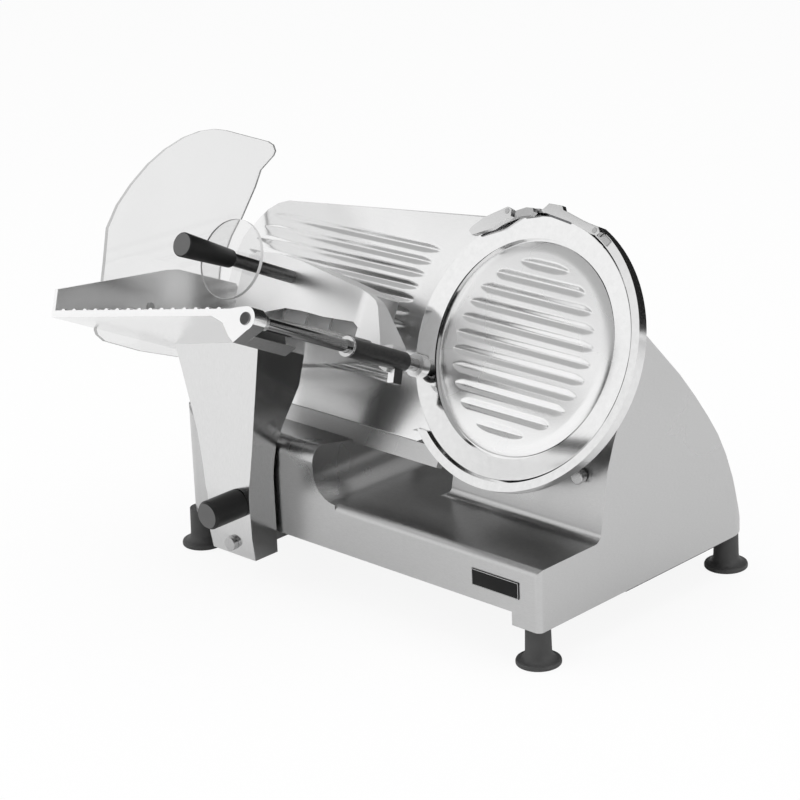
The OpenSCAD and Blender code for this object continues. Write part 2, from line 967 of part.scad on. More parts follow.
module food_tray() {
  color([0.8, 0.8, 0.8])
  tf()
    difference() {
      union() {
        box([tray_a0, tray_low, tray_n0], [tray_a1, tray_top, tray_n1]);
        for (i = [0:14])
          translate([-345 + i * 14.4, tray_top - 1.4, tray_n0])
            cylinder(r = 3, h = tray_n1 - tray_n0, $fn = 24);
        // end wall on the operator side
        translate([tray_a0 + 4, 0, 0])
          rotate([0, -90, 0])
            linear_extrude(4)
              polygon([[tray_n1, tray_low], [tray_n1, 9], [120, 56], [105, 59.5], [60, 61],
                [20, 62], [14, 56], [14, tray_low]]);
        // upper ear of the pusher rod with its web
        translate([rod_a, rod_m, ear_n])
          cylinder(r = 11.3, h = tray_n1 - ear_n);
        translate([0, 0, ear_n])
          linear_extrude(tray_n1 - ear_n)
            polygon([[-152, tray_low], [-137, -24], [-128, -36], [-121, -42], [-100.5, -27],
              [-110, -9.2], [-118, -9.6], [-130, tray_top]]);
        // lug under the floor
        translate([0, 0, ear_n - 54])
          linear_extrude(55)
            polygon([[-152, tray_low], [-137, -24], [-128, -36], [-121, -42], [-109, -34],
              [-122, -31], [-126, tray_low]]);
        // lower ear of the pusher rod
        translate([rod_a, rod_m, tray_n0])
          cylinder(r = 11.3, h = 10);
        translate([0, 0, tray_n0])
          linear_extrude(10)
            polygon([[-140, tray_low], [-110, -31], [-108, -10], [-130, tray_top]]);
      }
      translate([rod_a, rod_m, 0])
        cylinder(r = rod_r + set_fit, h = 300);
      for (p = [[137, 16], [60, 16]])
        translate([tray_a0 - 1, p[1], p[0]])
          rod_along_x(0, 6, 2 + set_fit);
    }
}

module hand_guard() {
  color([0.8, 0.8, 0.8, 0.4])
  tf()
    difference() {
      translate([tray_a0, 0, 0])
        rotate([0, -90, 0])
          linear_extrude(guard_t)
            polygon([[199.8, 30], [200.2, 47.6], [202, 80.5], [192.9, 105.2], [178, 129.2],
              [158.9, 153.5], [138.6, 173.3], [114.8, 191.1], [93.7, 202.3], [74.6, 209],
              [57.4, 211.6], [36.8, 212.9], [14.5, 214.1], [-5.1, 215.1], [-13.1, 213.4],
              [-17.1, 208], [-15.5, 203], [0.8, 184], [6, 165], [13.5, 146],
              [21.2, 126.5], [29.8, 108.1], [40, 74], [38, 36], [38, -8], [84.6, -24.5],
              [137.5, -28], [186.8, -27.1], [197, -23.1], [200.4, -18.9]]);
      for (p = [[137, 16], [60, 16]])
        translate([tray_a0 - 6, p[1], p[0]])
          rod_along_x(0, 8, 2 + set_fit);
    }
}

module guard_screws() {
  color([0.7, 0.7, 0.7])
  tf()
    for (p = [[137, 16], [60, 16]])
      translate([tray_a0, p[1], p[0]]) {
        rod_along_x(-guard_t - 2, 4, 2);
        rod_along_x(-guard_t - 3, -guard_t, 4);
        rod_along_x(4, 6, 4);
      }
}

module pusher_rod() {
  color([0.85, 0.85, 0.85])
  tf()
    translate([rod_a, rod_m, 10])
      cylinder(r = rod_r, h = tray_n1 - 9);
}

module rod_collar() {
  color([0.85, 0.85, 0.85])
  tf()
    translate([rod_a, rod_m, ear_n - 8])
      difference() {
        cylinder(r = 8, h = 8);
        translate([0, 0, -1])
          cylinder(r = rod_r + set_fit, h = 12);
      }
}

module pusher_bushings() {
  color([0.85, 0.85, 0.85])
  tf()
    translate([rod_a, rod_m, 0])
      difference() {
        union() {
          translate([0, 0, tube_n0 + 0.5])
            cylinder(r = tube_r - 1.5, h = 18);
          translate([0, 0, tube_n1 - 20])
            cylinder(r = tube_r - 1.5, h = 21);
          translate([0, 0, tube_n1 + 0.4])
            cylinder(r = 10, h = 3);
        }
        cylinder(r = rod_r + run_fit, h = 200);
      }
}

module pusher_tube() {
  color([0.2, 0.2, 0.2])
  tf()
    difference() {
      union() {
        translate([rod_a, rod_m, tube_n0])
          cylinder(r = tube_r, h = tube_n1 - tube_n0);
        box([rod_a - key_w, rod_m - key_low, key_n0], [rod_a + key_w, rod_m - tube_r + 1, key_n1]);
      }
      translate([rod_a, rod_m, tube_n0 - 1])
        cylinder(r = tube_r - 1.5 + run_fit, h = tube_n1 - tube_n0 + 2);
    }
}

// outline of the pusher in the blade frame
module hood_outline() {
  polygon([[-303, -36], [-305, 5], [-301, 18], [-291, 24], [-263, 27.5], [-234, 26], [-190, 20],
    [-147, 14], [-138, 10.8], [-131, 7], [-127.5, 2], [-118, -24.7], [-113, -40], [-126, -31],
    [-168, -31], [-230, -33], [-279, -36]]);
}

// inside of the pusher hood, open below
module hood_inside() {
  polygon([[-299.5, -40], [-301.5, 4], [-298, 15.5], [-290, 20.5], [-263, 24], [-234, 22.5],
    [-190, 16.5], [-149, 10.5], [-143, 9], [-143, -60], [-230, -60]]);
}

module pusher_hood() {
  color([0.85, 0.85, 0.85])
  bf()
    difference() {
      union() {
        translate([0, 0, hood_n0])
          linear_extrude(hood_n1 - hood_n0)
            hood_outline();
        // saddle that holds the tube from the left
        intersection() {
          translate([rod_x, rod_s, 40])
            cylinder(r = 13, h = hood_n1 - 40);
          box([rod_x - 20, rod_s - 20, 30], [rod_x, rod_s + 20, hood_n1 + 1]);
        }
      }
      difference() {
        translate([0, 0, hood_n0 + 3])
          linear_extrude(hood_n1 - hood_n0 - 6)
            hood_inside();
        for (x = [-240, -208.5, -177])
          box([x - 1.5, -70, hood_n0], [x + 1.5, 40, hood_n1]);
        translate([handle_x, handle_s, hood_n0])
          cylinder(r = 10, h = hood_n1 - hood_n0);
      }
      translate([rod_x, rod_s, 0])
        cylinder(r = tube_r + set_fit, h = 100);
      // the front wall ends higher than the back wall
      translate([0, 0, hood_n1 - 4])
        linear_extrude(5)
          polygon([[-146.6, -17.9], [-185.5, -20.8], [-214.7, -20.7], [-237, -22.3], [-260.5, -30.7],
            [-268, -40], [-136, -40], [-138, -24]]);
      // the right end of the front wall turns back
      along_y(-60, 30)
        polygon([[-146, hood_n1], [-146, hood_n1 + 1], [-80, hood_n1 + 1], [-80, hood_n1 - 23.5]]);
      // the right end tapers to the front
      translate([-140, 0, 0])
        rotate([90, 0, 90])
          linear_extrude(60)
            polygon([[-28, hood_n0 - 1], [-28, hood_n0], [10, hood_n1 - 14], [30, hood_n1 - 8],
              [30, hood_n0 - 1]]);
      // slot for the key of the tube
      rotate([0, 0, tray_roll])
        box([rod_a - key_w - set_fit, rod_m - key_low - set_fit, key_n0 - set_fit],
          [rod_a + key_w + set_fit, rod_m, key_n1 + set_fit]);
      translate([handle_x, handle_s, hood_n1 - 30])
        cylinder(r = 5 + set_fit, h = 40);
    }
}

module pusher_teeth() {
  color([0.75, 0.75, 0.75])
  bf() {
    box([-296, -26, hood_n0 - 2], [-142, 4, hood_n0]);
    for (x = [-286:14:-150])
      for (s = [-18, -4])
        translate([x, s, hood_n0 - 4.5])
          cylinder(r1 = 0.8, r2 = 2.5, h = 3);
  }
}

module handle_bar() {
  color([0.7, 0.7, 0.7])
  bf()
    translate([handle_x, handle_s, 0]) {
      translate([0, 0, hood_n1 - 30])
        cylinder(r = 5, h = 32);
      translate([0, 0, hood_n1])
        cylinder(r = 6.2, h = 83);
      translate([0, 0, hood_n1 + 82])
        cylinder(r = 4, h = 40);
    }
}

module handle_grip() {
  color([0.08, 0.08, 0.08])
  bf()
    difference() {
      translate([handle_x, handle_s, 161])
        cylinder(r1 = 8.8, r2 = 11.8, h = 66);
      translate([handle_x, handle_s, 150])
        cylinder(r = 4 + set_fit, h = 46.5);
    }
}

module handle_disc() {
  color([0.8, 0.8, 0.8, 0.4])
  bf()
    difference() {
      translate([handle_x, handle_s, 157])
        cylinder(r = disc_r, h = 4);
      translate([handle_x, handle_s, 150])
        cylinder(r = 4 + set_fit, h = 20);
    }
}

module blade() {
  color([0.9, 0.9, 0.9])
  bf()
    difference() {
      rotate_extrude($fn = 128)
        polygon([[10, -6.5], [106, -6.5], [113, -2.5], [blade_r, edge_n - 0.5], [blade_r, edge_n],
          [dish_r, 0.2], [dish_r, -4], [10, -4]]);
      for (a = [45:90:315])
        rotate([0, 0, a])
          translate([20, 0, -8])
            cylinder(r = 2.5 + set_fit, h = 10);
    }
}

module blade_shaft() {
  color([0.7, 0.7, 0.7])
  bf()
    difference() {
      union() {
        translate([0, 0, -12])
          cylinder(r = 28, h = 5.5);
        translate([0, 0, -24.5])
          cylinder(r = 12, h = 13);
        translate([0, 0, -67])
          cylinder(r = shaft_r, h = 50);
        translate([0, 0, -7])
          cylinder(r = 10 - set_fit, h = 3);
      }
      translate([0, 0, -70])
        cylinder(r = 4.5, h = 80);
      for (a = [45:90:315])
        rotate([0, 0, a])
          translate([20, 0, -13])
            cylinder(r = 2.5 + set_fit, h = 10);
    }
}

module blade_screws() {
  color([0.6, 0.6, 0.6])
  bf()
    for (a = [45:90:315])
      rotate([0, 0, a])
        translate([20, 0, 0]) {
          translate([0, 0, -11.5])
            cylinder(r = 2.5, h = 7.6);
          translate([0, 0, -4])
            cylinder(r = 4, h = 0.6);
        }
}

module blade_pulley() {
  color([0.5, 0.5, 0.5])
  bf()
    difference() {
      translate([0, 0, pulley_n0])
        cylinder(r = pulley_r, h = pulley_n1 - pulley_n0);
      translate([0, 0, pulley_n0 - 1])
        cylinder(r = shaft_r + set_fit, h = 20);
    }
}

module motor_shaft() {
  color([0.7, 0.7, 0.7])
  bf()
    translate([0, -belt_span, motor_n1 - 19])
      cylinder(r = 5, h = pulley_n1 - motor_n1 + 19);
}

module motor_pulley() {
  color([0.5, 0.5, 0.5])
  bf()
    translate([0, -belt_span, pulley_n0])
      difference() {
        cylinder(r = pinion_r, h = pulley_n1 - pulley_n0);
        translate([0, 0, -1])
          cylinder(r = 5 + set_fit, h = 20);
      }
}

module gauge_plate() {
  color([0.82, 0.82, 0.82])
  bf()
    difference() {
      translate([0, 0, -gauge_t])
        linear_extrude(gauge_t)
          polygon([[-378, -111], [-389, -100], [-392, -80], [-392, 22], [-386, 42], [-374, 62],
            [-360, 76], [-342, 84], [-74, 113.7], [-70, 100], [-70, -100], [-94, -111]]);
      translate([0, 0, -10])
        cylinder(r = ring_r0 - 0.9, h = 20, $fn = 128);
      intersection() {
        translate([0, 0, -10])
          cylinder(r = ring_r1 + 1, h = 20, $fn = 128);
        box([-200, -200, -10], [0, ring_low + 1, 10]);
      }
      // shallow grooves on the face
      for (i = [0:8])
        translate([0, groove_s(i), 3.2])
          rotate([0, 0, groove_tilt])
            rod_along_x(-356, -sqrt(groove_end * groove_end - groove_s(i) * groove_s(i)), 4.2);
    }
}

module gauge_bracket() {
  color([0.5, 0.5, 0.5])
  bf()
    difference() {
      union() {
        box([-352, -173, -14], [-224, -151, 6]);
        box([-302, -173, -18], [-258, -104, -9]);
        box([-302, -108, -18], [-258, -30, -gauge_t]);
        // fork and pin that ride on the cam
        box([-307, -166, -32], [-303, -152, -13]);
        box([-287, -166, -32], [-283, -152, -13]);
        translate([0, cam_s, cam_n + cam_r + pin_r + 0.5])
          rod_along_x(-305, -285, pin_r);
      }
      for (x = gauge_rod_x)
        translate([x, -162, -20])
          cylinder(r = 6 + run_fit, h = 40);
    }
}

module thickness_knob() {
  color([0.08, 0.08, 0.08])
  translate([0, cam_y, cam_z])
    difference() {
      union() {
        rod_along_x(-hx - 26, -hx - 6, knob_r);
        rod_along_x(-hx - 7, -hx - 0.5, 16);
        translate([-hx - 30, -2.5, -knob_r + 4])
          cube([5, 5, 2 * knob_r - 8]);
      }
      rod_along_x(-hx - 20, -hx + 1, 5 + set_fit);
    }
}

module cam_shaft() {
  color([0.6, 0.6, 0.6])
  translate([0, cam_y, cam_z]) {
    rod_along_x(-hx - 19, blade_x - 286, 5);
    // spiral cam, its radius falls by the stroke over the knob turn
    translate([blade_x - 300, 0, 0])
      rotate([90, 0, 90])
        linear_extrude(10)
          polygon([for (a = [0:7.5:352.5])
            let (r = cam_r - gauge_stroke * min(a, knob_turn) / knob_turn, b = 180 - lean + a)
              [r * cos(b), r * sin(b)]]);
  }
}

base_casting();
bottom_cover();
bottom_screws();
rubber_feet();
foot_studs();
badge_plate();
tower_bolt();
cable_gland();
switch_bezel();
switch_block();
start_button();
stop_button();
rail_rod();
rail_brackets();
guide_bar();
ring_guard();
deflector();
bearing_housing();
bearings();
drive_belt();
motor_body();
blade_cover();
cover_tie_rod();
cover_knob();
sharpener_body();
sharpener_lever_left();
sharpener_lever_right();
grinding_stone();
honing_stone();
gauge_frame();
gauge_rods();
slide_block();
slide_bushings();
roller_axle();
guide_roller();
carriage_arm();
arm_bolt();
lock_knob();
food_tray();
hand_guard();
guard_screws();
pusher_rod();
rod_collar();
pusher_bushings();
pusher_tube();
pusher_hood();
pusher_teeth();
handle_bar();
handle_grip();
handle_disc();
blade();
blade_shaft();
blade_screws();
blade_pulley();
motor_shaft();
motor_pulley();
gauge_plate();
gauge_bracket();
thickness_knob();
cam_shaft();
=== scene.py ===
import json
import math
import bmesh
import bpy
from mathutils import Matrix, Vector


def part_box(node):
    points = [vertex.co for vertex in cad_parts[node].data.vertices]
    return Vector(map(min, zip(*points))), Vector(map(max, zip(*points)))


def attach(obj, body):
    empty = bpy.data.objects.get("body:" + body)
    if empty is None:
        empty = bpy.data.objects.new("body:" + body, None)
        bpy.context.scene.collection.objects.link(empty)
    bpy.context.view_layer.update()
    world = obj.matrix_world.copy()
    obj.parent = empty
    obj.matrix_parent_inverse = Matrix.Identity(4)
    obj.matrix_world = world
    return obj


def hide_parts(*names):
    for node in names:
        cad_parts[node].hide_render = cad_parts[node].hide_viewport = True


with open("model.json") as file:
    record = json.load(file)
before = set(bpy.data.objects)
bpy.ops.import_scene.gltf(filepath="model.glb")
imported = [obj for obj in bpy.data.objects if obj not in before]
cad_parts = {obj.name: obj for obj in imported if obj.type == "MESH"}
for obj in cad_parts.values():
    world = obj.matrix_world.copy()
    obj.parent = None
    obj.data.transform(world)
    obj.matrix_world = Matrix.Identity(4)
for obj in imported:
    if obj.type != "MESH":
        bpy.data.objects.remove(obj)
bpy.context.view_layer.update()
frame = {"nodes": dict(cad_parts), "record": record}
scene = bpy.context.scene
scene.view_settings.view_transform = "Standard"
record = frame["record"]
bodyOf = {node: body for body, nodes in record["behaviour"]["bodies"].items() for node in nodes}
jointTo = {entry["child"]: entry for entry in record["behaviour"]["joints"]}
mm = 0.001
print("frame loaded:", len(frame["nodes"]), "nodes")

# the blade plane: x along the carriage travel, s up the plane, n out of it
bladeCentre = Vector(jointTo["blade"]["pos_m"])
axisX = Vector((1, 0, 0))
axisN = Vector(jointTo["blade"]["axis"])
axisS = axisN.cross(axisX)
towardsFront = Vector((0, -1, 0))

# the tray is rolled about the blade's axis
traySet = {"roll": 11.6}
roll = math.radians(traySet["roll"])
trayAlong = axisX * math.cos(roll) + axisS * math.sin(roll)
trayUp = axisS * math.cos(roll) - axisX * math.sin(roll)


def bladePoint(x, s, n):
    return bladeCentre + (axisX * x + axisS * s + axisN * n) * mm


def inTray(point):
    # millimetres along the tray, up from it and out along the blade's axis
    return [(point - bladeCentre).dot(axis) / mm for axis in (trayAlong, trayUp, axisN)]


# shared shader effects
def newGroup(name, inputs, outputs):
    tree = bpy.data.node_groups.new(name, "ShaderNodeTree")
    for label, kind, value in inputs:
        socket = tree.interface.new_socket(name=label, in_out="INPUT", socket_type=kind)
        socket.default_value = value
    for label, kind in outputs:
        tree.interface.new_socket(name=label, in_out="OUTPUT", socket_type=kind)
    return tree, tree.nodes.new("NodeGroupInput"), tree.nodes.new("NodeGroupOutput")


def makeBrushLines():
    tree, start, end = newGroup(
        "brushLines",
        [("Stretch", "NodeSocketVector", (1, 1, 1)), ("Scale", "NodeSocketFloat", 400.0)],
        [("Streak", "NodeSocketFloat"), ("Height", "NodeSocketFloat")])
    link = tree.links.new
    place = tree.nodes.new("ShaderNodeTexCoord")
    squeeze = tree.nodes.new("ShaderNodeVectorMath")
    squeeze.operation = "MULTIPLY"
    link(place.outputs["Object"], squeeze.inputs[0])
    link(start.outputs["Stretch"], squeeze.inputs[1])
    fine = tree.nodes.new("ShaderNodeTexNoise")
    fine.inputs["Detail"].default_value = 4.0
    fine.inputs["Roughness"].default_value = 0.62
    link(squeeze.outputs[0], fine.inputs["Vector"])
    link(start.outputs["Scale"], fine.inputs["Scale"])
    spread = tree.nodes.new("ShaderNodeMapRange")
    spread.inputs["From Min"].default_value = 0.3
    spread.inputs["From Max"].default_value = 0.7
    link(fine.outputs["Fac"], spread.inputs["Value"])
    link(spread.outputs["Result"], end.inputs["Streak"])
    link(fine.outputs["Fac"], end.inputs["Height"])
    return tree


def makeHandling():
    tree, start, end = newGroup(
        "handling",
        [("Scale", "NodeSocketFloat", 9.0)],
        [("Smudge", "NodeSocketFloat")])
    link = tree.links.new
    place = tree.nodes.new("ShaderNodeTexCoord")
    wide = tree.nodes.new("ShaderNodeTexNoise")
    wide.inputs["Detail"].default_value = 3.0
    wide.inputs["Distortion"].default_value = 0.6
    link(place.outputs["Object"], wide.inputs["Vector"])
    link(start.outputs["Scale"], wide.inputs["Scale"])
    spread = tree.nodes.new("ShaderNodeMapRange")
    spread.inputs["From Min"].default_value = 0.32
    spread.inputs["From Max"].default_value = 0.68
    link(wide.outputs["Fac"], spread.inputs["Value"])
    link(spread.outputs["Result"], end.inputs["Smudge"])
    return tree


def makeMouldSkin():
    tree, start, end = newGroup(
        "mouldSkin",
        [("Scale", "NodeSocketFloat", 1400.0)],
        [("Grain", "NodeSocketFloat"), ("Height", "NodeSocketFloat")])
    link = tree.links.new
    place = tree.nodes.new("ShaderNodeTexCoord")
    cells = tree.nodes.new("ShaderNodeTexVoronoi")
    cells.feature = "SMOOTH_F1"
    link(place.outputs["Object"], cells.inputs["Vector"])
    link(start.outputs["Scale"], cells.inputs["Scale"])
    soft = tree.nodes.new("ShaderNodeTexNoise")
    soft.inputs["Scale"].default_value = 60.0
    soft.inputs["Detail"].default_value = 3.0
    link(place.outputs["Object"], soft.inputs["Vector"])
    link(soft.outputs["Fac"], end.inputs["Grain"])
    link(cells.outputs["Distance"], end.inputs["Height"])
    return tree


groups = {"brush": makeBrushLines(), "handling": makeHandling(), "skin": makeMouldSkin()}


# materials
def newMaterial(name):
    material = bpy.data.materials.new(name)
    material.use_nodes = True
    tree = material.node_tree
    return material, tree, tree.nodes["Principled BSDF"]


def placeGroup(tree, groupName, **values):
    node = tree.nodes.new("ShaderNodeGroup")
    node.node_tree = groups[groupName]
    for label, value in values.items():
        node.inputs[label].default_value = value
    return node


def blendColour(tree, mask, low, high):
    node = tree.nodes.new("ShaderNodeMix")
    node.data_type = "RGBA"
    node.inputs["A"].default_value = (*low, 1)
    node.inputs["B"].default_value = (*high, 1)
    tree.links.new(mask, node.inputs["Factor"])
    return node.outputs["Result"]


def spreadValue(tree, value, low, high):
    node = tree.nodes.new("ShaderNodeMapRange")
    node.inputs["To Min"].default_value = low
    node.inputs["To Max"].default_value = high
    tree.links.new(value, node.inputs["Value"])
    return node.outputs["Result"]


def bumpFrom(tree, height, strength, distance):
    node = tree.nodes.new("ShaderNodeBump")
    node.inputs["Strength"].default_value = strength
    node.inputs["Distance"].default_value = distance
    tree.links.new(height, node.inputs["Height"])
    return node.outputs["Normal"]


def roundTangent(tree):
    # direction of turning round the blade axis, for lathe-turned faces
    where = tree.nodes.new("ShaderNodeTexCoord")
    away = tree.nodes.new("ShaderNodeVectorMath")
    away.operation = "SUBTRACT"
    away.inputs[1].default_value = bladeCentre
    tree.links.new(where.outputs["Object"], away.inputs[0])
    turn = tree.nodes.new("ShaderNodeVectorMath")
    turn.operation = "CROSS_PRODUCT"
    turn.inputs[0].default_value = axisN
    tree.links.new(away.outputs[0], turn.inputs[1])
    unit = tree.nodes.new("ShaderNodeVectorMath")
    unit.operation = "NORMALIZE"
    tree.links.new(turn.outputs[0], unit.inputs[0])
    return unit.outputs[0]


metalSet = {"smudgeScale": 9.0, "bumpDepth": 0.0004}
plasticSet = {"smudgeScale": 14.0, "bumpDepth": 0.0003}
acrylicSet = {"smudgeScale": 12.0, "touchedTint": 0.985, "ior": 1.46}


def metal(name, low, high, rough, stretch, grain, bump, turned=0.0):
    material, tree, shader = newMaterial(name)
    lines = placeGroup(tree, "brush", Stretch=stretch, Scale=grain)
    hands = placeGroup(tree, "handling", Scale=metalSet["smudgeScale"])
    link = tree.links.new
    link(blendColour(tree, lines.outputs["Streak"], low, high), shader.inputs["Base Color"])
    link(spreadValue(tree, hands.outputs["Smudge"], rough[0], rough[1]), shader.inputs["Roughness"])
    link(bumpFrom(tree, lines.outputs["Height"], bump, metalSet["bumpDepth"]), shader.inputs["Normal"])
    shader.inputs["Metallic"].default_value = 1.0
    if turned:
        shader.inputs["Anisotropic"].default_value = turned
        link(roundTangent(tree), shader.inputs["Tangent"])
    return material


def plastic(name, low, high, rough, skin=1400.0, bump=0.12, shine=0.5):
    material, tree, shader = newMaterial(name)
    hide = placeGroup(tree, "skin", Scale=skin)
    hands = placeGroup(tree, "handling", Scale=plasticSet["smudgeScale"])
    link = tree.links.new
    link(blendColour(tree, hide.outputs["Grain"], low, high), shader.inputs["Base Color"])
    link(spreadValue(tree, hands.outputs["Smudge"], rough[0], rough[1]), shader.inputs["Roughness"])
    link(bumpFrom(tree, hide.outputs["Height"], bump, plasticSet["bumpDepth"]), shader.inputs["Normal"])
    shader.inputs["Specular IOR Level"].default_value = shine
    return material


def acrylic(name, tint, rough):
    material, tree, shader = newMaterial(name)
    hands = placeGroup(tree, "handling", Scale=acrylicSet["smudgeScale"])
    link = tree.links.new
    touched = tuple(part * acrylicSet["touchedTint"] for part in tint)
    link(blendColour(tree, hands.outputs["Smudge"], tint, touched), shader.inputs["Base Color"])
    link(spreadValue(tree, hands.outputs["Smudge"], rough[0], rough[1]), shader.inputs["Roughness"])
    shader.inputs["Transmission Weight"].default_value = 1.0
    shader.inputs["IOR"].default_value = acrylicSet["ior"]
    return material


def grey(level):
    return (level, level, level)


finish = {
    "cast": metal("castSatin", grey(0.53), grey(0.59), (0.27, 0.33), (1, 1, 8), 300.0, 0.04),
    # painted shade: a darker copy of the satin casting for faces that sit in shade
    "raw": metal("castingPaintedShade", grey(0.2), grey(0.26), (0.36, 0.44), (1, 1, 8), 300.0, 0.06),
    # painted shade: a darker copy of the arm's polish for its side faces
    "armSidePaintedShade": metal("armSidePaintedShade", grey(0.44), grey(0.5), (0.14, 0.2), (6, 6, 1), 200.0, 0.02),
    "polish": metal("polishedAluminium", grey(0.7), grey(0.77), (0.12, 0.2), (9, 9, 1), 260.0, 0.02),
    "cover": metal("coverSatin", grey(0.9), grey(0.95), (0.24, 0.3), (1, 14, 14), 240.0, 0.02),
    "hood": metal("hoodSatin", grey(0.95), grey(0.99), (0.27, 0.34), (1, 14, 14), 240.0, 0.02),
    "mirror": metal("armPolish", grey(0.7), grey(0.76), (0.12, 0.16), (6, 6, 1), 200.0, 0.02),
    "plate": metal("plateSatin", grey(0.86), grey(0.92), (0.16, 0.22), (1, 14, 14), 240.0, 0.02),
    "turned": metal("turnedBlade", grey(0.83), grey(0.88), (0.07, 0.1), (1, 1, 1), 160.0, 0.004, 0.35),
    "turnedRing": metal("turnedRing", grey(0.76), grey(0.82), (0.1, 0.15), (1, 1, 1), 160.0, 0.004, 0.35),
    "steel": metal("machinedSteel", grey(0.5), grey(0.6), (0.22, 0.34), (4, 4, 4), 200.0, 0.04),
    "rod": metal("chromedRod", grey(0.62), grey(0.68), (0.08, 0.14), (6, 1, 2), 200.0, 0.015),
    "slideRod": metal("slideRod", grey(0.34), grey(0.4), (0.1, 0.16), (6, 1, 2), 200.0, 0.015),
    "tube": metal("darkTube", grey(0.07), grey(0.1), (0.28, 0.36), (6, 1, 2), 200.0, 0.03),
    "sheet": metal("brushedSheet", grey(0.6), grey(0.72), (0.24, 0.34), (1, 12, 12), 260.0, 0.04),
    "bronze": metal("sinteredBronze", (0.42, 0.3, 0.14), (0.5, 0.37, 0.18), (0.4, 0.5), (2, 2, 2), 500.0,
                    0.08),
    "black": plastic("blackPlastic", grey(0.006), grey(0.011), (0.36, 0.44), shine=0.35),
    "rubber": plastic("feetRubber", grey(0.042), grey(0.06), (0.5, 0.62), 1000.0, 0.16),
    # painted reflection: a lighter grey for the flat ends of the black knobs, standing in for their sheen
    "cap": plastic("greyCapPaintedReflection", grey(0.08), grey(0.11), (0.42, 0.5)),
    "bright": metal("milledEdge", grey(0.95), grey(0.99), (0.3, 0.36), (1, 14, 14), 240.0, 0.02),
    # painted reflection: the chromed handle bar is given a dark metal colour that stands in for its dark
    # reflections
    "bar": metal("handleBarPaintedReflection", grey(0.18), grey(0.24), (0.26, 0.34), (6, 1, 2), 200.0, 0.03),
    "white": plastic("whitePlastic", grey(0.72), grey(0.78), (0.3, 0.4), 900.0, 0.05),
    "paint": plastic("satinBlackPaint", grey(0.006), grey(0.011), (0.4, 0.5), 700.0, 0.08, 0.15),
    "stone": plastic("abrasiveStone", (0.16, 0.16, 0.17), (0.24, 0.24, 0.25), (0.8, 0.9), 2200.0, 0.5),
    "clear": acrylic("clearAcrylic", grey(0.875), (0.02, 0.05)),
    "clearEdge": plastic("sheetEdge", grey(0.38), grey(0.46), (0.2, 0.3), 900.0, 0.05),
    "discEdge": plastic("discEdge", grey(0.62), grey(0.7), (0.2, 0.3), 900.0, 0.05),
    "border": plastic("badgeBorder", grey(0.5), grey(0.58), (0.3, 0.4), 900.0, 0.05),
}
print("materials made:", len(finish))

# node: finish, edge rounding in mm, nought where the piece is inside or has code of its own below
dress = {
    "base_casting": ("cast", 1.6), "bottom_cover": ("paint", 0.5), "bottom_screws": ("steel", 0.3),
    "rubber_feet": ("rubber", 0.0), "foot_studs": ("steel", 0.0), "badge_plate": ("paint", 0.3),
    "tower_bolt": ("steel", 0.8), "cable_gland": ("black", 0.5), "switch_bezel": ("black", 0.8),
    "switch_block": ("black", 0.0), "start_button": ("white", 0.8), "stop_button": ("black", 0.8),
    "rail_rod": ("rod", 0.4), "rail_brackets": ("cast", 0.6), "guide_bar": ("steel", 0.4),
    "ring_guard": ("turnedRing", 0.5), "deflector": ("sheet", 0.2), "bearing_housing": ("cast", 0.0),
    "bearings": ("steel", 0.0), "drive_belt": ("rubber", 0.0), "motor_body": ("paint", 0.0),
    "blade_cover": ("cover", 0.0), "cover_tie_rod": ("steel", 0.0), "cover_knob": ("black", 1.5),
    "sharpener_body": ("cast", 0.5), "sharpener_lever_left": ("polish", 0.8),
    "sharpener_lever_right": ("polish", 0.8), "grinding_stone": ("stone", 0.2),
    "honing_stone": ("stone", 0.2),
    "gauge_frame": ("cast", 0.0), "gauge_rods": ("rod", 0.0), "slide_block": ("cast", 0.6),
    "slide_bushings": ("bronze", 0.0), "roller_axle": ("steel", 0.0), "guide_roller": ("white", 0.4),
    "carriage_arm": ("mirror", 1.4), "arm_bolt": ("steel", 0.8), "lock_knob": ("black", 1.2),
    "food_tray": ("plate", 0.5), "hand_guard": ("clear", 0.35), "guard_screws": ("steel", 0.4),
    "pusher_rod": ("slideRod", 0.5), "rod_collar": ("steel", 0.4), "pusher_bushings": ("rod", 0.4),
    "pusher_tube": ("tube", 0.3), "pusher_hood": ("hood", 3.0), "pusher_teeth": ("sheet", 0.0),
    "handle_bar": ("bar", 0.4), "handle_grip": ("black", 1.2), "handle_disc": ("clear", 0.3),
    "blade": ("turned", 0.0), "blade_shaft": ("steel", 0.0), "blade_screws": ("steel", 0.0),
    "blade_pulley": ("cast", 0.0), "motor_shaft": ("steel", 0.0), "motor_pulley": ("steel", 0.0),
    "gauge_plate": ("plate", 0.0), "gauge_bracket": ("cast", 0.8), "thickness_knob": ("black", 1.0),
    "cam_shaft": ("steel", 0.0),
}
sawnEdge = {"hand_guard": "clearEdge", "handle_disc": "discEdge"}  # finish of the edges of clear sheets


def paint(obj, material):
    obj.data.materials.clear()
    obj.data.materials.append(material)


def settle(obj):
    # modifiers become plain mesh
    graph = bpy.context.evaluated_depsgraph_get()
    mesh = bpy.data.meshes.new_from_object(obj.evaluated_get(graph))
    obj.modifiers.clear()
    obj.data = mesh
    return obj


def shade(mesh, angle):
    for face in mesh.polygons:
        face.use_smooth = True
    mesh.set_sharp_from_angle(angle=math.radians(angle))


edgeSet = {"segments": 3, "cadAngle": 28, "madeAngle": 50, "smoothAngle": 30, "flatAngle": 1.0, "merge": 2e-6}


def roundEdges(piece, width, angle, miter):
    bevel = piece.modifiers.new("softEdge", "BEVEL")
    bevel.width = width * mm
    bevel.segments = edgeSet["segments"]
    bevel.limit_method = "ANGLE"
    bevel.angle_limit = math.radians(angle)
    bevel.miter_outer = miter
    return settle(piece)


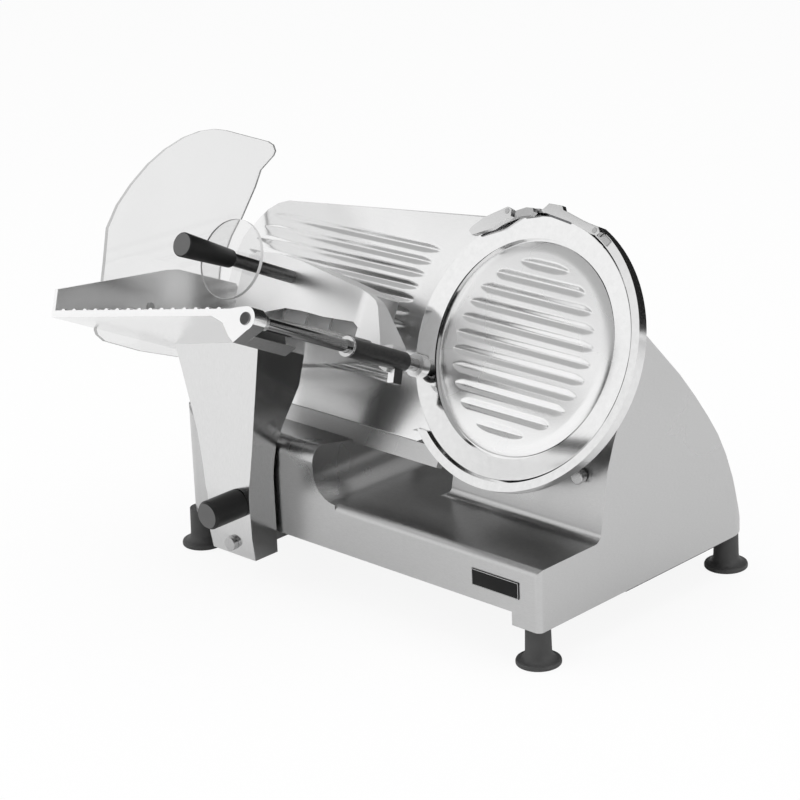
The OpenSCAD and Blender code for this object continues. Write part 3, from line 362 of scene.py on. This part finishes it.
def soften(piece, width):
    # rounds the edges and keeps the broad faces flat
    roundEdges(piece, width, edgeSet["cadAngle"], "MITER_ARC")
    shade(piece.data, edgeSet["smoothAngle"])
    weight = piece.modifiers.new("flatFaces", "WEIGHTED_NORMAL")
    weight.mode = "FACE_AREA"
    weight.keep_sharp = True
    return settle(piece)


# the front rim of the tower's end wall is rounded wider than the other edges of the base
rimSet = {"node": "base_casting", "radius": 3.6, "segments": 6, "low": 100.0, "back": 80.0, "sharp": 0.7}
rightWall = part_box(rimSet["node"])[1][0]


def onTowerRim(edge):
    for vert in edge.verts:
        x, y, z = vert.co
        if abs(x - rightWall) > 1e-5 or z < rimSet["low"] * mm or y > rimSet["back"] * mm:
            return False
    return len(edge.link_faces) == 2 and edge.calc_face_angle() > rimSet["sharp"]


def roundedCopy(node, width):
    mesh = frame["nodes"][node].data.copy()
    work = bmesh.new()
    work.from_mesh(mesh)
    bmesh.ops.remove_doubles(work, verts=work.verts, dist=edgeSet["merge"])
    bmesh.ops.dissolve_limit(work, angle_limit=math.radians(edgeSet["flatAngle"]), verts=work.verts,
                             edges=work.edges, delimit=set())
    if node == rimSet["node"]:
        rim = [edge for edge in work.edges if onTowerRim(edge)]
        bmesh.ops.bevel(work, geom=rim, offset=rimSet["radius"] * mm, offset_type="OFFSET",
                        segments=rimSet["segments"], profile=0.5, affect="EDGES", clamp_overlap=False)
    work.to_mesh(mesh)
    work.free()
    piece = bpy.data.objects.new(node + "_dressed", mesh)
    scene.collection.objects.link(piece)
    return soften(piece, width)


def pieceFrom(name, work, angle, soft=0.0):
    bmesh.ops.recalc_face_normals(work, faces=work.faces)
    mesh = bpy.data.meshes.new(name)
    work.to_mesh(mesh)
    work.free()
    piece = bpy.data.objects.new(name, mesh)
    scene.collection.objects.link(piece)
    if soft:
        roundEdges(piece, soft, edgeSet["madeAngle"], "MITER_SHARP")
    shade(piece.data, angle)
    return piece


def refinish(piece, finishName, wanted):
    # the wanted faces get a finish of their own
    piece.data.materials.append(finish[finishName])
    slot = len(piece.data.materials) - 1
    for face in piece.data.polygons:
        if wanted(face):
            face.material_index = slot


faceSet = {"facing": 0.97, "broad": 0.9}  # cosines


def facing(direction):
    return lambda face: face.normal.dot(direction) > faceSet["facing"]


def atEdgeOf(sheet):
    broad = max(sheet.data.polygons, key=lambda face: face.area).normal.copy()
    return lambda face: abs(face.normal.dot(broad)) < faceSet["broad"]


# the lug under the tray's ear gets a darker copy of the casting colour as painted shade
lugSet = {"start": 185.0, "end": 260.0, "top": -17.5, "left": -152.0, "right": -100.0}
# the ribs inside the pusher's hood get the same darker casting colour as painted shade, darker than its
# polished outside
ribSet = {"places": (-240.0, -208.5, -177.0), "reach": 3.0, "largest": 400.0}
# the badge has a thin light line round its front face
badgeSet = {"line": 0.7}


def onLug(face):
    c = lugSet
    a, m, n = inTray(face.center)
    inside = c["left"] < a < c["right"] and m < c["top"] and c["start"] < n < c["end"]
    return inside and not facing(axisN)(face)


def onRib(face):
    a = inTray(face.center)[0]
    near = min(abs(a - spot) for spot in ribSet["places"])
    return near < ribSet["reach"] and face.area < ribSet["largest"] * mm * mm


def lineBadge(piece):
    work = bmesh.new()
    work.from_mesh(piece.data)
    front = [face for face in work.faces if facing(towardsFront)(face)]
    rim = bmesh.ops.inset_region(work, faces=front, thickness=badgeSet["line"] * mm)["faces"]
    piece.data.materials.append(finish["border"])
    for face in rim:
        face.material_index = len(piece.data.materials) - 1
    work.to_mesh(piece.data)
    work.free()


built = {}


def mount(piece, node):
    paint(piece, finish[dress[node][0]])
    if node in sawnEdge:
        refinish(piece, sawnEdge[node], atEdgeOf(piece))
    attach(piece, bodyOf[node])
    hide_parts(node)
    built[node] = piece


# the blade cover: a low dome with a rolled rim and pressed flutes that fade out at their ends
coverSet = {"radius": 101.9, "rimStart": 90.0, "rimDrop": 2.6, "rimCurve": 2.4, "crown": 1.9, "foot": -3.0,
            "fluteCount": 11, "flutePitch": 15.8, "fluteReach": 85.0, "fluteInset": 3.0, "fluteWidth": 5.8,
            "fluteDepth": 1.7, "straightest": 1.9, "pointedBelow": 26.0, "rings": 150, "spokes": 480,
            "smooth": 40}


def trough(across, width, depth):
    # cross-section of a pressed flute
    if abs(across) >= width:
        return 0.0
    return depth * math.cos(0.5 * math.pi * across / width) ** 2


def coverHeight(x, s):
    c = coverSet
    radius = math.hypot(x, s)
    height = c["crown"] * (1.0 - (radius / c["radius"]) ** 2)
    if radius > c["rimStart"]:
        height -= c["rimDrop"] * ((radius - c["rimStart"]) / (c["radius"] - c["rimStart"])) ** c["rimCurve"]
    row = round(s / c["flutePitch"])
    if abs(row) <= c["fluteCount"] // 2:
        half = math.sqrt(c["fluteReach"] ** 2 - (row * c["flutePitch"]) ** 2) - c["fluteInset"]
        ease = min(c["straightest"], half / c["pointedBelow"])  # a short flute is pointed
        fade = min(1.0, math.sqrt(max(0.0, 1.0 - (x / half) ** 2)) * ease)
        height -= trough(s - row * c["flutePitch"], c["fluteWidth"] * fade, c["fluteDepth"] * fade)
    return height


def makeCover():
    c = coverSet
    work = bmesh.new()
    middle = work.verts.new(bladePoint(0, 0, coverHeight(0, 0)))
    loops = []
    turns = [2 * math.pi * spoke / c["spokes"] for spoke in range(c["spokes"])]
    for ring in range(1, c["rings"] + 1):
        radius = c["radius"] * ring / c["rings"]
        spots = [(radius * math.cos(turn), radius * math.sin(turn)) for turn in turns]
        loops.append([work.verts.new(bladePoint(x, s, coverHeight(x, s))) for x, s in spots])
    low = [work.verts.new(bladePoint(x, s, c["foot"])) for x, s in spots]
    loops.append(low)
    for spoke in range(c["spokes"]):
        follow = (spoke + 1) % c["spokes"]
        work.faces.new((middle, loops[0][spoke], loops[0][follow]))
        for inner, outer in zip(loops, loops[1:]):
            work.faces.new((inner[spoke], outer[spoke], outer[follow], inner[follow]))
    work.faces.new(low[::-1])
    return pieceFrom("coverFluted", work, c["smooth"])


# the gauge plate: a flat plate with long pressed flutes
plateSet = {"thick": 6.0, "leftEdge": -392, "lowEdge": -111, "cornerStart": 22, "gapRadius": 126.6,
            "ringRadius": 137.0, "columns": 250, "rows": 190, "rounding": 0.8, "smooth": 40,
            "fluteCount": 11, "fluteTop": 70.3, "fluteTopAt": -146, "flutePitch": 13.0, "fluteTilt": 0.9,
            "fluteWidth": 4.8, "fluteDepth": 1.6, "fluteFade": 16.0, "startInset": 14.0, "startSlope": 0.45,
            "endRadius": 147.0, "endLeast": 90.0}


def polyPoint(points, share):
    # point at a share of the length of a line of points
    lengths = [math.dist(a, b) for a, b in zip(points, points[1:])]
    left = share * sum(lengths)
    for a, b, length in zip(points, points[1:], lengths):
        if left <= length or b == points[-1]:
            k = min(1.0, left / length)
            return (a[0] + (b[0] - a[0]) * k, a[1] + (b[1] - a[1]) * k)
        left -= length


def bow(radius, start, stop, count=24):
    # points on a circle round the blade axis
    turns = [math.radians(start + (stop - start) * i / count) for i in range(count + 1)]
    return [(radius * math.cos(a), radius * math.sin(a)) for a in turns]


def plateHeight(x, s):
    c = plateSet
    topFlute = c["fluteTop"] + (x - c["fluteTopAt"]) * math.tan(math.radians(c["fluteTilt"]))
    row = round((topFlute - s) / c["flutePitch"])
    if not 0 <= row < c["fluteCount"]:
        return 0.0
    end = -math.sqrt(max(c["endRadius"] ** 2 - s * s, c["endLeast"] ** 2))
    start = c["leftEdge"] + c["startInset"] + max(0.0, s - c["cornerStart"]) * c["startSlope"]
    if not start < x < end:
        return 0.0
    fade = math.sqrt(min(1.0, (end - x) / c["fluteFade"], (x - start) / c["fluteFade"]))
    return -trough(s - topFlute + row * c["flutePitch"], c["fluteWidth"] * fade, c["fluteDepth"] * fade)


def makePlate():
    c = plateSet
    left = [(-378, c["lowEdge"]), (-386, -106), (-390, -98), (c["leftEdge"], -84),
            (c["leftEdge"], c["cornerStart"]), (-389, 36), (-382, 50), (-374, 62), (-366, 71), (-355, 79),
            (-342, 84)]
    right = bow(c["ringRadius"], 231.2, 225.7, 6) + bow(c["gapRadius"], 230.7, 124.5, 44) + [(-74, 113.7)]
    bottom = [left[0], (-94, c["lowEdge"]), right[0]]
    top = [left[-1], right[-1]]
    work = bmesh.new()
    grid = []
    for j in range(c["rows"] + 1):
        v = j / c["rows"]
        row = []
        for i in range(c["columns"] + 1):
            u = i / c["columns"]
            onLeft, onRight = polyPoint(left, v), polyPoint(right, v)
            onBottom, onTop = polyPoint(bottom, u), polyPoint(top, u)
            spot = [(1 - u) * onLeft[k] + u * onRight[k] + (1 - v) * onBottom[k] + v * onTop[k]
                    - (1 - u) * (1 - v) * left[0][k] - u * (1 - v) * right[0][k]
                    - (1 - u) * v * left[-1][k] - u * v * right[-1][k] for k in (0, 1)]
            row.append((spot, work.verts.new(bladePoint(*spot, plateHeight(*spot)))))
        grid.append(row)
    for low, high in zip(grid, grid[1:]):
        for i in range(c["columns"]):
            work.faces.new((low[i][1], low[i + 1][1], high[i + 1][1], high[i][1]))
    rim = grid[0] + [row[-1] for row in grid[1:]] + grid[-1][-2::-1] + [row[0] for row in grid[-2:0:-1]]
    under = [work.verts.new(bladePoint(*spot, -c["thick"])) for spot, _ in rim]
    for k in range(len(rim)):
        follow = (k + 1) % len(rim)
        work.faces.new((rim[k][1], under[k], under[follow], rim[follow][1]))
    work.faces.new(under[::-1])
    return pieceFrom("plateFluted", work, c["smooth"], c["rounding"])


mount(makeCover(), "blade_cover")
mount(makePlate(), "gauge_plate")
print("fluted pieces made")

# the blade: a dished disc turned on a lathe, (radius, height) from the back of the hub round to the recess
bladeSet = {"spokes": 480, "smooth": 12,
            "profile": [(10, -6.5), (106, -6.5), (113, -2.5), (124.4, 2.9), (125, 3.3), (124.6, 3.5),
                        (104.5, 0.2), (104.5, -4), (10, -4)]}


def makeBlade():
    profile, spokes = bladeSet["profile"], bladeSet["spokes"]
    work = bmesh.new()
    loops = []
    for spoke in range(spokes):
        turn = 2 * math.pi * spoke / spokes
        spots = [bladePoint(r * math.cos(turn), r * math.sin(turn), n) for r, n in profile]
        loops.append([work.verts.new(spot) for spot in spots])
    for here, ahead in zip(loops, loops[1:] + loops[:1]):
        for k in range(len(profile)):
            follow = (k + 1) % len(profile)
            work.faces.new((here[k], ahead[k], ahead[follow], here[follow]))
    return pieceFrom("bladeTurned", work, bladeSet["smooth"])


mount(makeBlade(), "blade")
print("blade turned")


# Geometry Nodes trees for what repeats
def newTree(name, inputs):
    tree = bpy.data.node_groups.new(name, "GeometryNodeTree")
    tree.interface.new_socket(name="Geometry", in_out="INPUT", socket_type="NodeSocketGeometry")
    for label, kind in inputs:
        tree.interface.new_socket(name=label, in_out="INPUT", socket_type=kind)
    tree.interface.new_socket(name="Geometry", in_out="OUTPUT", socket_type="NodeSocketGeometry")
    return tree, tree.nodes.new("NodeGroupInput"), tree.nodes.new("NodeGroupOutput")


def closeTree(tree, start, end, instances):
    # instances become plain mesh with the finish of the piece
    solid = tree.nodes.new("GeometryNodeRealizeInstances")
    coat = tree.nodes.new("GeometryNodeSetMaterial")
    tree.links.new(instances, solid.inputs["Geometry"])
    tree.links.new(solid.outputs["Geometry"], coat.inputs["Geometry"])
    tree.links.new(start.outputs["Finish"], coat.inputs["Material"])
    tree.links.new(coat.outputs["Geometry"], end.inputs["Geometry"])


def makeRepeatGrid():
    # copies of a piece in rows and columns
    tree, start, end = newTree("repeatGrid", [
        ("Columns", "NodeSocketInt"), ("Column Step", "NodeSocketVector"),
        ("Rows", "NodeSocketInt"), ("Row Step", "NodeSocketVector"), ("Finish", "NodeSocketMaterial")])
    lines = []
    for count, step in (("Columns", "Column Step"), ("Rows", "Row Step")):
        line = tree.nodes.new("GeometryNodeMeshLine")
        tree.links.new(start.outputs[count], line.inputs["Count"])
        tree.links.new(start.outputs[step], line.inputs["Offset"])
        lines.append(line.outputs["Mesh"])
    spread = tree.nodes.new("GeometryNodeInstanceOnPoints")
    tree.links.new(lines[0], spread.inputs["Points"])
    tree.links.new(lines[1], spread.inputs["Instance"])
    points = tree.nodes.new("GeometryNodeRealizeInstances")
    tree.links.new(spread.outputs["Instances"], points.inputs["Geometry"])
    fill = tree.nodes.new("GeometryNodeInstanceOnPoints")
    tree.links.new(points.outputs["Geometry"], fill.inputs["Points"])
    tree.links.new(start.outputs["Geometry"], fill.inputs["Instance"])
    closeTree(tree, start, end, fill.outputs["Instances"])
    return tree


def makeRepeatRing():
    # copies of a piece turned round an axis through a centre, the piece drawn about the origin
    tree, start, end = newTree("repeatRing", [
        ("Count", "NodeSocketInt"), ("Centre", "NodeSocketVector"), ("Axis", "NodeSocketVector"),
        ("Turn Step", "NodeSocketFloat"), ("Finish", "NodeSocketMaterial")])
    line = tree.nodes.new("GeometryNodeMeshLine")
    line.inputs["Offset"].default_value = (0, 0, 0)
    tree.links.new(start.outputs["Count"], line.inputs["Count"])
    tree.links.new(start.outputs["Centre"], line.inputs["Start Location"])
    index = tree.nodes.new("GeometryNodeInputIndex")
    turn = tree.nodes.new("ShaderNodeMath")
    turn.operation = "MULTIPLY"
    tree.links.new(index.outputs[0], turn.inputs[0])
    tree.links.new(start.outputs["Turn Step"], turn.inputs[1])
    spin = tree.nodes.new("FunctionNodeAxisAngleToRotation")
    tree.links.new(start.outputs["Axis"], spin.inputs["Axis"])
    tree.links.new(turn.outputs[0], spin.inputs["Angle"])
    fill = tree.nodes.new("GeometryNodeInstanceOnPoints")
    tree.links.new(line.outputs["Mesh"], fill.inputs["Points"])
    tree.links.new(start.outputs["Geometry"], fill.inputs["Instance"])
    tree.links.new(spin.outputs["Rotation"], fill.inputs["Rotation"])
    closeTree(tree, start, end, fill.outputs["Instances"])
    return tree


repeatGrid = makeRepeatGrid()
repeatRing = makeRepeatRing()


def repeat(piece, tree, **values):
    # inputs are named in words, with a blank for each capital
    modifier = piece.modifiers.new("repeat", "NODES")
    modifier.node_group = tree
    for socket in tree.interface.items_tree:
        label = socket.name.replace(" ", "")
        if socket.in_out == "INPUT" and label in values:
            modifier[socket.identifier] = values[label]
    return settle(piece)


def joined(name, pieces):
    # several meshes become one piece
    work = bmesh.new()
    for piece in pieces:
        work.from_mesh(piece.data)
        bpy.data.objects.remove(piece)
    mesh = bpy.data.meshes.new(name)
    work.to_mesh(mesh)
    work.free()
    whole = bpy.data.objects.new(name, mesh)
    scene.collection.objects.link(whole)
    return whole


def turnedAbout(name, profile, spot, along, spokes, angle):
    # (radius, height) profile turned about a line through spot, open at the axis where the radius is nought
    along = Vector(along).normalized()
    side = along.orthogonal().normalized()
    other = along.cross(side)
    work = bmesh.new()
    loops = []
    for spoke in range(spokes):
        turn = 2 * math.pi * spoke / spokes
        away = side * math.cos(turn) + other * math.sin(turn)
        loops.append([work.verts.new(Vector(spot) + (away * r + along * h) * mm) for r, h in profile])
    for here, ahead in zip(loops, loops[1:] + loops[:1]):
        for k in range(len(profile) - 1):
            work.faces.new((here[k], ahead[k], ahead[k + 1], here[k + 1]))
    bmesh.ops.remove_doubles(work, verts=work.verts, dist=1e-7)
    return pieceFrom(name, work, angle)


def quarterTurn(count):
    return [math.pi / 2 * k / count for k in range(count + 1)]


# the four rubber feet: one turned foot, set out on the corners of the base
footSet = {"flange": 21.5, "stem": 12.5, "height": 39.6, "recess": 8.0, "recessDepth": 12.0, "stud": 4.02,
           "rimRound": 1.2, "lip": [(0.0, 3.0), (0.6, 4.4)], "swellInset": 2.0, "swellFoot": 5.0,
           "swellRise": 9.0, "topRound": [(0.6, 0.4), (1.0, 0.0)], "spokes": 64, "smooth": 35}


def makeFeet():
    c = footSet
    low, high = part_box("rubber_feet")
    corner = Vector((c["flange"], c["flange"], 0)) * mm
    first = Vector((low[0], low[1], 0)) + corner
    step = Vector((high[0] - low[0], high[1] - low[1], 0)) - corner * 2
    hole = [(c["stud"], c["recessDepth"]), (c["recess"], c["recessDepth"]), (c["recess"], 0.0)]
    rim = [(c["flange"] - c["rimRound"] * (1 - math.sin(t)), c["rimRound"] * (1 - math.cos(t)))
           for t in quarterTurn(4)]
    lip = [(c["flange"] - inset, height) for inset, height in c["lip"]]
    reach = c["flange"] - c["swellInset"] - c["stem"]
    swell = [(c["stem"] + reach * (1 - math.sin(t)), c["swellFoot"] + c["swellRise"] * (1 - math.cos(t)))
             for t in quarterTurn(8)]
    crest = [(c["stem"] - inset, c["height"] - drop) for inset, drop in c["topRound"]]
    profile = hole + rim + lip + swell + crest + [(c["stud"], c["height"]), hole[0]]
    foot = turnedAbout("feetTurned", profile, first, (0, 0, 1), c["spokes"], c["smooth"])
    return repeat(foot, repeatGrid, Columns=2, ColumnStep=(step.x, 0, 0), Rows=2, RowStep=(0, step.y, 0),
                  Finish=finish["rubber"])


mount(makeFeet(), "rubber_feet")

# the spiked plate of the pusher: a sheet with two rows of pressed cones
teethSet = {"first": (-286, -18), "step": (14, 14), "count": (10, 2), "sheet": [(-296, -26), (-142, 4)],
            "face": 24.0, "back": 26.0, "tip": 21.5, "foot": 2.5, "sunk": 0.5, "spokes": 20, "rounding": 0.4,
            "sheetSmooth": 30, "smooth": 40}


def makeTeeth():
    c = teethSet
    (x0, s0), (x1, s1) = c["sheet"]
    work = bmesh.new()
    corners = [(x, s, n) for n in (c["face"], c["back"]) for x, s in ((x0, s0), (x1, s0), (x1, s1), (x0, s1))]
    spots = [work.verts.new(bladePoint(*corner)) for corner in corners]
    for ring in ((0, 3, 2, 1), (4, 5, 6, 7), (0, 1, 5, 4), (1, 2, 6, 5), (2, 3, 7, 6), (3, 0, 4, 7)):
        work.faces.new([spots[k] for k in ring])
    sheet = pieceFrom("teethSheet", work, c["sheetSmooth"], c["rounding"])
    height = c["face"] - c["tip"]
    tip = [(0.0, height), (0.5, height - 0.15), (0.8, height - 0.6)]
    root = [(c["foot"] - 0.4, 0.4), (c["foot"], 0.0), (c["foot"], -c["sunk"]), (0.0, -c["sunk"])]
    corner = bladePoint(*c["first"], c["face"])
    tooth = turnedAbout("tooth", tip + root, corner, -axisN, c["spokes"], c["smooth"])
    rows = repeat(tooth, repeatGrid, Columns=c["count"][0], ColumnStep=axisX * c["step"][0] * mm,
                  Rows=c["count"][1], RowStep=axisS * c["step"][1] * mm, Finish=finish["sheet"])
    whole = joined("teethPlate", [sheet, rows])
    shade(whole.data, c["smooth"])
    return whole


mount(makeTeeth(), "pusher_teeth")

# the thickness dial: finger ribs set round its rim
dialSet = {"ribs": 36, "radius": 28.0, "ribRadius": 1.1, "length": 15.0, "ribStart": 6.5, "ribSpokes": 12,
           "ribSmooth": 60, "smooth": 32}


def makeDial():
    c = dialSet
    centre = Vector(jointTo["thickness_knob"]["pos_m"])
    core = roundedCopy("thickness_knob", dress["thickness_knob"][1])
    half, r = c["length"] / 2, c["ribRadius"]
    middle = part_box("thickness_knob")[0][0] + (c["ribStart"] + half) * mm
    pill = [(r * math.sin(t), -half + r * (1 - math.cos(t))) for t in quarterTurn(5)]
    pill += [(x, -h) for x, h in reversed(pill)]
    rib = turnedAbout("dialRib", pill, (0, 0, c["radius"] * mm), (1, 0, 0), c["ribSpokes"], c["ribSmooth"])
    ribs = repeat(rib, repeatRing, Count=c["ribs"], Centre=(middle, centre.y, centre.z), Axis=(1, 0, 0),
                  TurnStep=2 * math.pi / c["ribs"], Finish=finish["black"])
    whole = joined("dialRibbed", [core, ribs])
    shade(whole.data, c["smooth"])
    return whole


mount(makeDial(), "thickness_knob")
print("repeated pieces made")

for node, (finishName, width) in dress.items():
    if node in built:
        continue
    if width:
        mount(roundedCopy(node, width), node)
    else:
        paint(frame["nodes"][node], finish[finishName])
# painted reflection: the flat ends of the grip and the lock knob get the lighter grey
refinish(built["handle_grip"], "cap", facing(axisN))
refinish(built["lock_knob"], "cap", facing(towardsFront))
refinish(built["pusher_rod"], "tube", facing(axisN))
refinish(built["food_tray"], "bright", facing(axisN))
# painted shade: the arm's side faces get the darker copy of its polish
refinish(built["carriage_arm"], "armSidePaintedShade", facing(axisX))
refinish(built["pusher_tube"], "bright", facing(axisN))
# painted shade: the lug under the tray and the ribs inside the hood get the darker casting colour
refinish(built["food_tray"], "raw", onLug)
refinish(built["pusher_hood"], "raw", onRib)
lineBadge(built["badge_plate"])
print("pieces dressed:", len(dress))

# stage, light and camera
stageSet = {"floorSize": 8.0, "floorDrop": 0.0004, "floorTone": 0.82, "floorGlow": 0.9, "worldFill": 0.7}
lightSet = {
    "keyBox": {"spot": (-1.6, -2.1, 1.8), "aim": (0, 0, 0.2), "size": (2.8, 2.2), "power": 30},
    "topBox": {"spot": (0.2, 0.0, 2.5), "aim": (0, 0, 0.2), "size": (2.6, 2.2), "power": 24},
    "sideBox": {"spot": (2.4, 0.4, 1.3), "aim": (0, 0, 0.2), "size": (1.8, 1.8), "power": 12},
}
panelSet = {
    "backPanel": {"spot": (-0.3, 1.9, 1.05), "aim": (-0.3, 0, 1.05), "size": (4.4, 1.6), "tone": 0.02},
    "cameraPanel": {"spot": (2.2, -2.25, 1.3), "aim": (0, 0, 0.3), "size": (3.6, 2.4), "tone": 0.02},
    "ceilingPanel": {"spot": (0, 0, 1.75), "aim": (0, 0.001, 0), "size": (4.4, 4.4), "tone": 0.45},
}


def rectangle(name, width, depth):
    mesh = bpy.data.meshes.new(name)
    w, d = width / 2, depth / 2
    mesh.from_pydata([(-w, -d, 0), (w, -d, 0), (w, d, 0), (-w, d, 0)], [], [(0, 1, 2, 3)])
    return mesh


def turnTowards(spot, aim):
    return (Vector(aim) - Vector(spot)).to_track_quat("-Z", "Y")


def largest(tree, first, second):
    node = tree.nodes.new("ShaderNodeMath")
    node.operation = "MAXIMUM"
    tree.links.new(first, node.inputs[0])
    tree.links.new(second, node.inputs[1])
    return node.outputs[0]


def makeFloor():
    # pale where the camera looks, matte where it catches the shadow
    floor = bpy.data.objects.new("floor", rectangle("floor", stageSet["floorSize"], stageSet["floorSize"]))
    scene.collection.objects.link(floor)
    floor.location.z = -stageSet["floorDrop"]
    material = bpy.data.materials.new("paleFloor")
    material.use_nodes = True
    tree = material.node_tree
    tree.nodes.clear()
    out = tree.nodes.new("ShaderNodeOutputMaterial")
    matte = tree.nodes.new("ShaderNodeBsdfDiffuse")
    matte.inputs["Color"].default_value = (*grey(stageSet["floorTone"]), 1)
    glow = tree.nodes.new("ShaderNodeEmission")
    glow.inputs["Strength"].default_value = 1.0
    mixer = tree.nodes.new("ShaderNodeMixShader")
    path = tree.nodes.new("ShaderNodeLightPath")
    seen = largest(tree, path.outputs["Is Camera Ray"], path.outputs["Is Transmission Ray"])
    share = tree.nodes.new("ShaderNodeMath")
    share.operation = "MULTIPLY"
    share.inputs[1].default_value = stageSet["floorGlow"]
    tree.links.new(seen, share.inputs[0])
    tree.links.new(share.outputs[0], mixer.inputs["Fac"])
    tree.links.new(matte.outputs[0], mixer.inputs[1])
    tree.links.new(glow.outputs[0], mixer.inputs[2])
    tree.links.new(mixer.outputs[0], out.inputs["Surface"])
    floor.data.materials.append(material)


def makeWorld():
    world = bpy.data.worlds.new("studio")
    scene.world = world
    world.use_nodes = True
    tree = world.node_tree
    tree.nodes.clear()
    out = tree.nodes.new("ShaderNodeOutputWorld")
    light = tree.nodes.new("ShaderNodeBackground")
    path = tree.nodes.new("ShaderNodeLightPath")
    direct = largest(tree, path.outputs["Is Camera Ray"], path.outputs["Is Glossy Ray"])
    seen = largest(tree, direct, path.outputs["Is Transmission Ray"])
    level = tree.nodes.new("ShaderNodeMapRange")
    level.inputs["To Min"].default_value = stageSet["worldFill"]
    level.inputs["To Max"].default_value = 1.0
    tree.links.new(seen, level.inputs["Value"])
    tree.links.new(level.outputs["Result"], light.inputs["Strength"])
    light.inputs["Color"].default_value = (1, 1, 1, 1)
    tree.links.new(light.outputs[0], out.inputs["Surface"])


def softbox(name, spot, aim, size, power):
    lamp = bpy.data.lights.new(name, "AREA")
    lamp.shape = "RECTANGLE"
    lamp.size, lamp.size_y = size
    lamp.energy = power
    holder = bpy.data.objects.new(name, lamp)
    scene.collection.objects.link(holder)
    holder.location = spot
    holder.rotation_euler = turnTowards(spot, aim).to_euler()
    holder.visible_glossy = False
    holder.visible_transmission = False


def panel(name, spot, aim, size, tone):
    # studio panel that only shows as a reflection in the metal
    mesh = rectangle(name, *size)
    mesh.transform(Matrix.Translation(spot) @ turnTowards(spot, aim).to_matrix().to_4x4())
    card = bpy.data.objects.new(name, mesh)
    scene.collection.objects.link(card)
    material = bpy.data.materials.new(name)
    material.use_nodes = True
    tree = material.node_tree
    tree.nodes.clear()
    glow = tree.nodes.new("ShaderNodeEmission")
    glow.inputs["Strength"].default_value = tone
    out = tree.nodes.new("ShaderNodeOutputMaterial")
    tree.links.new(glow.outputs[0], out.inputs["Surface"])
    mesh.materials.append(material)
    card.visible_camera = False
    card.visible_diffuse = False
    card.visible_shadow = False
    card.visible_transmission = False


makeFloor()
makeWorld()
for name, settings in lightSet.items():
    softbox(name, **settings)
for name, settings in panelSet.items():
    panel(name, **settings)
print("stage lit")

cameraSet = {
    "spot": (1.79039, -1.84579, 1.13037), "lens": 128.06, "sensor": 36.0, "shift": (-0.0046, -0.001),
    "right": (0.7271, 0.6855, -0.0376), "up": (-0.2107, 0.2750, 0.9381), "back": (0.6534, -0.6742, 0.3444),
}
camData = bpy.data.cameras.new("photoView")
camera = bpy.data.objects.new("photoView", camData)
scene.collection.objects.link(camera)
rows = Matrix((cameraSet["right"], cameraSet["up"], cameraSet["back"])).transposed()
camera.matrix_world = Matrix.Translation(cameraSet["spot"]) @ rows.to_4x4()
camData.lens = cameraSet["lens"]
camData.sensor_width = cameraSet["sensor"]
camData.sensor_fit = "HORIZONTAL"
camData.shift_x, camData.shift_y = cameraSet["shift"]
camData.clip_start, camData.clip_end = 0.1, 50
scene.camera = camera

print("scene ready")
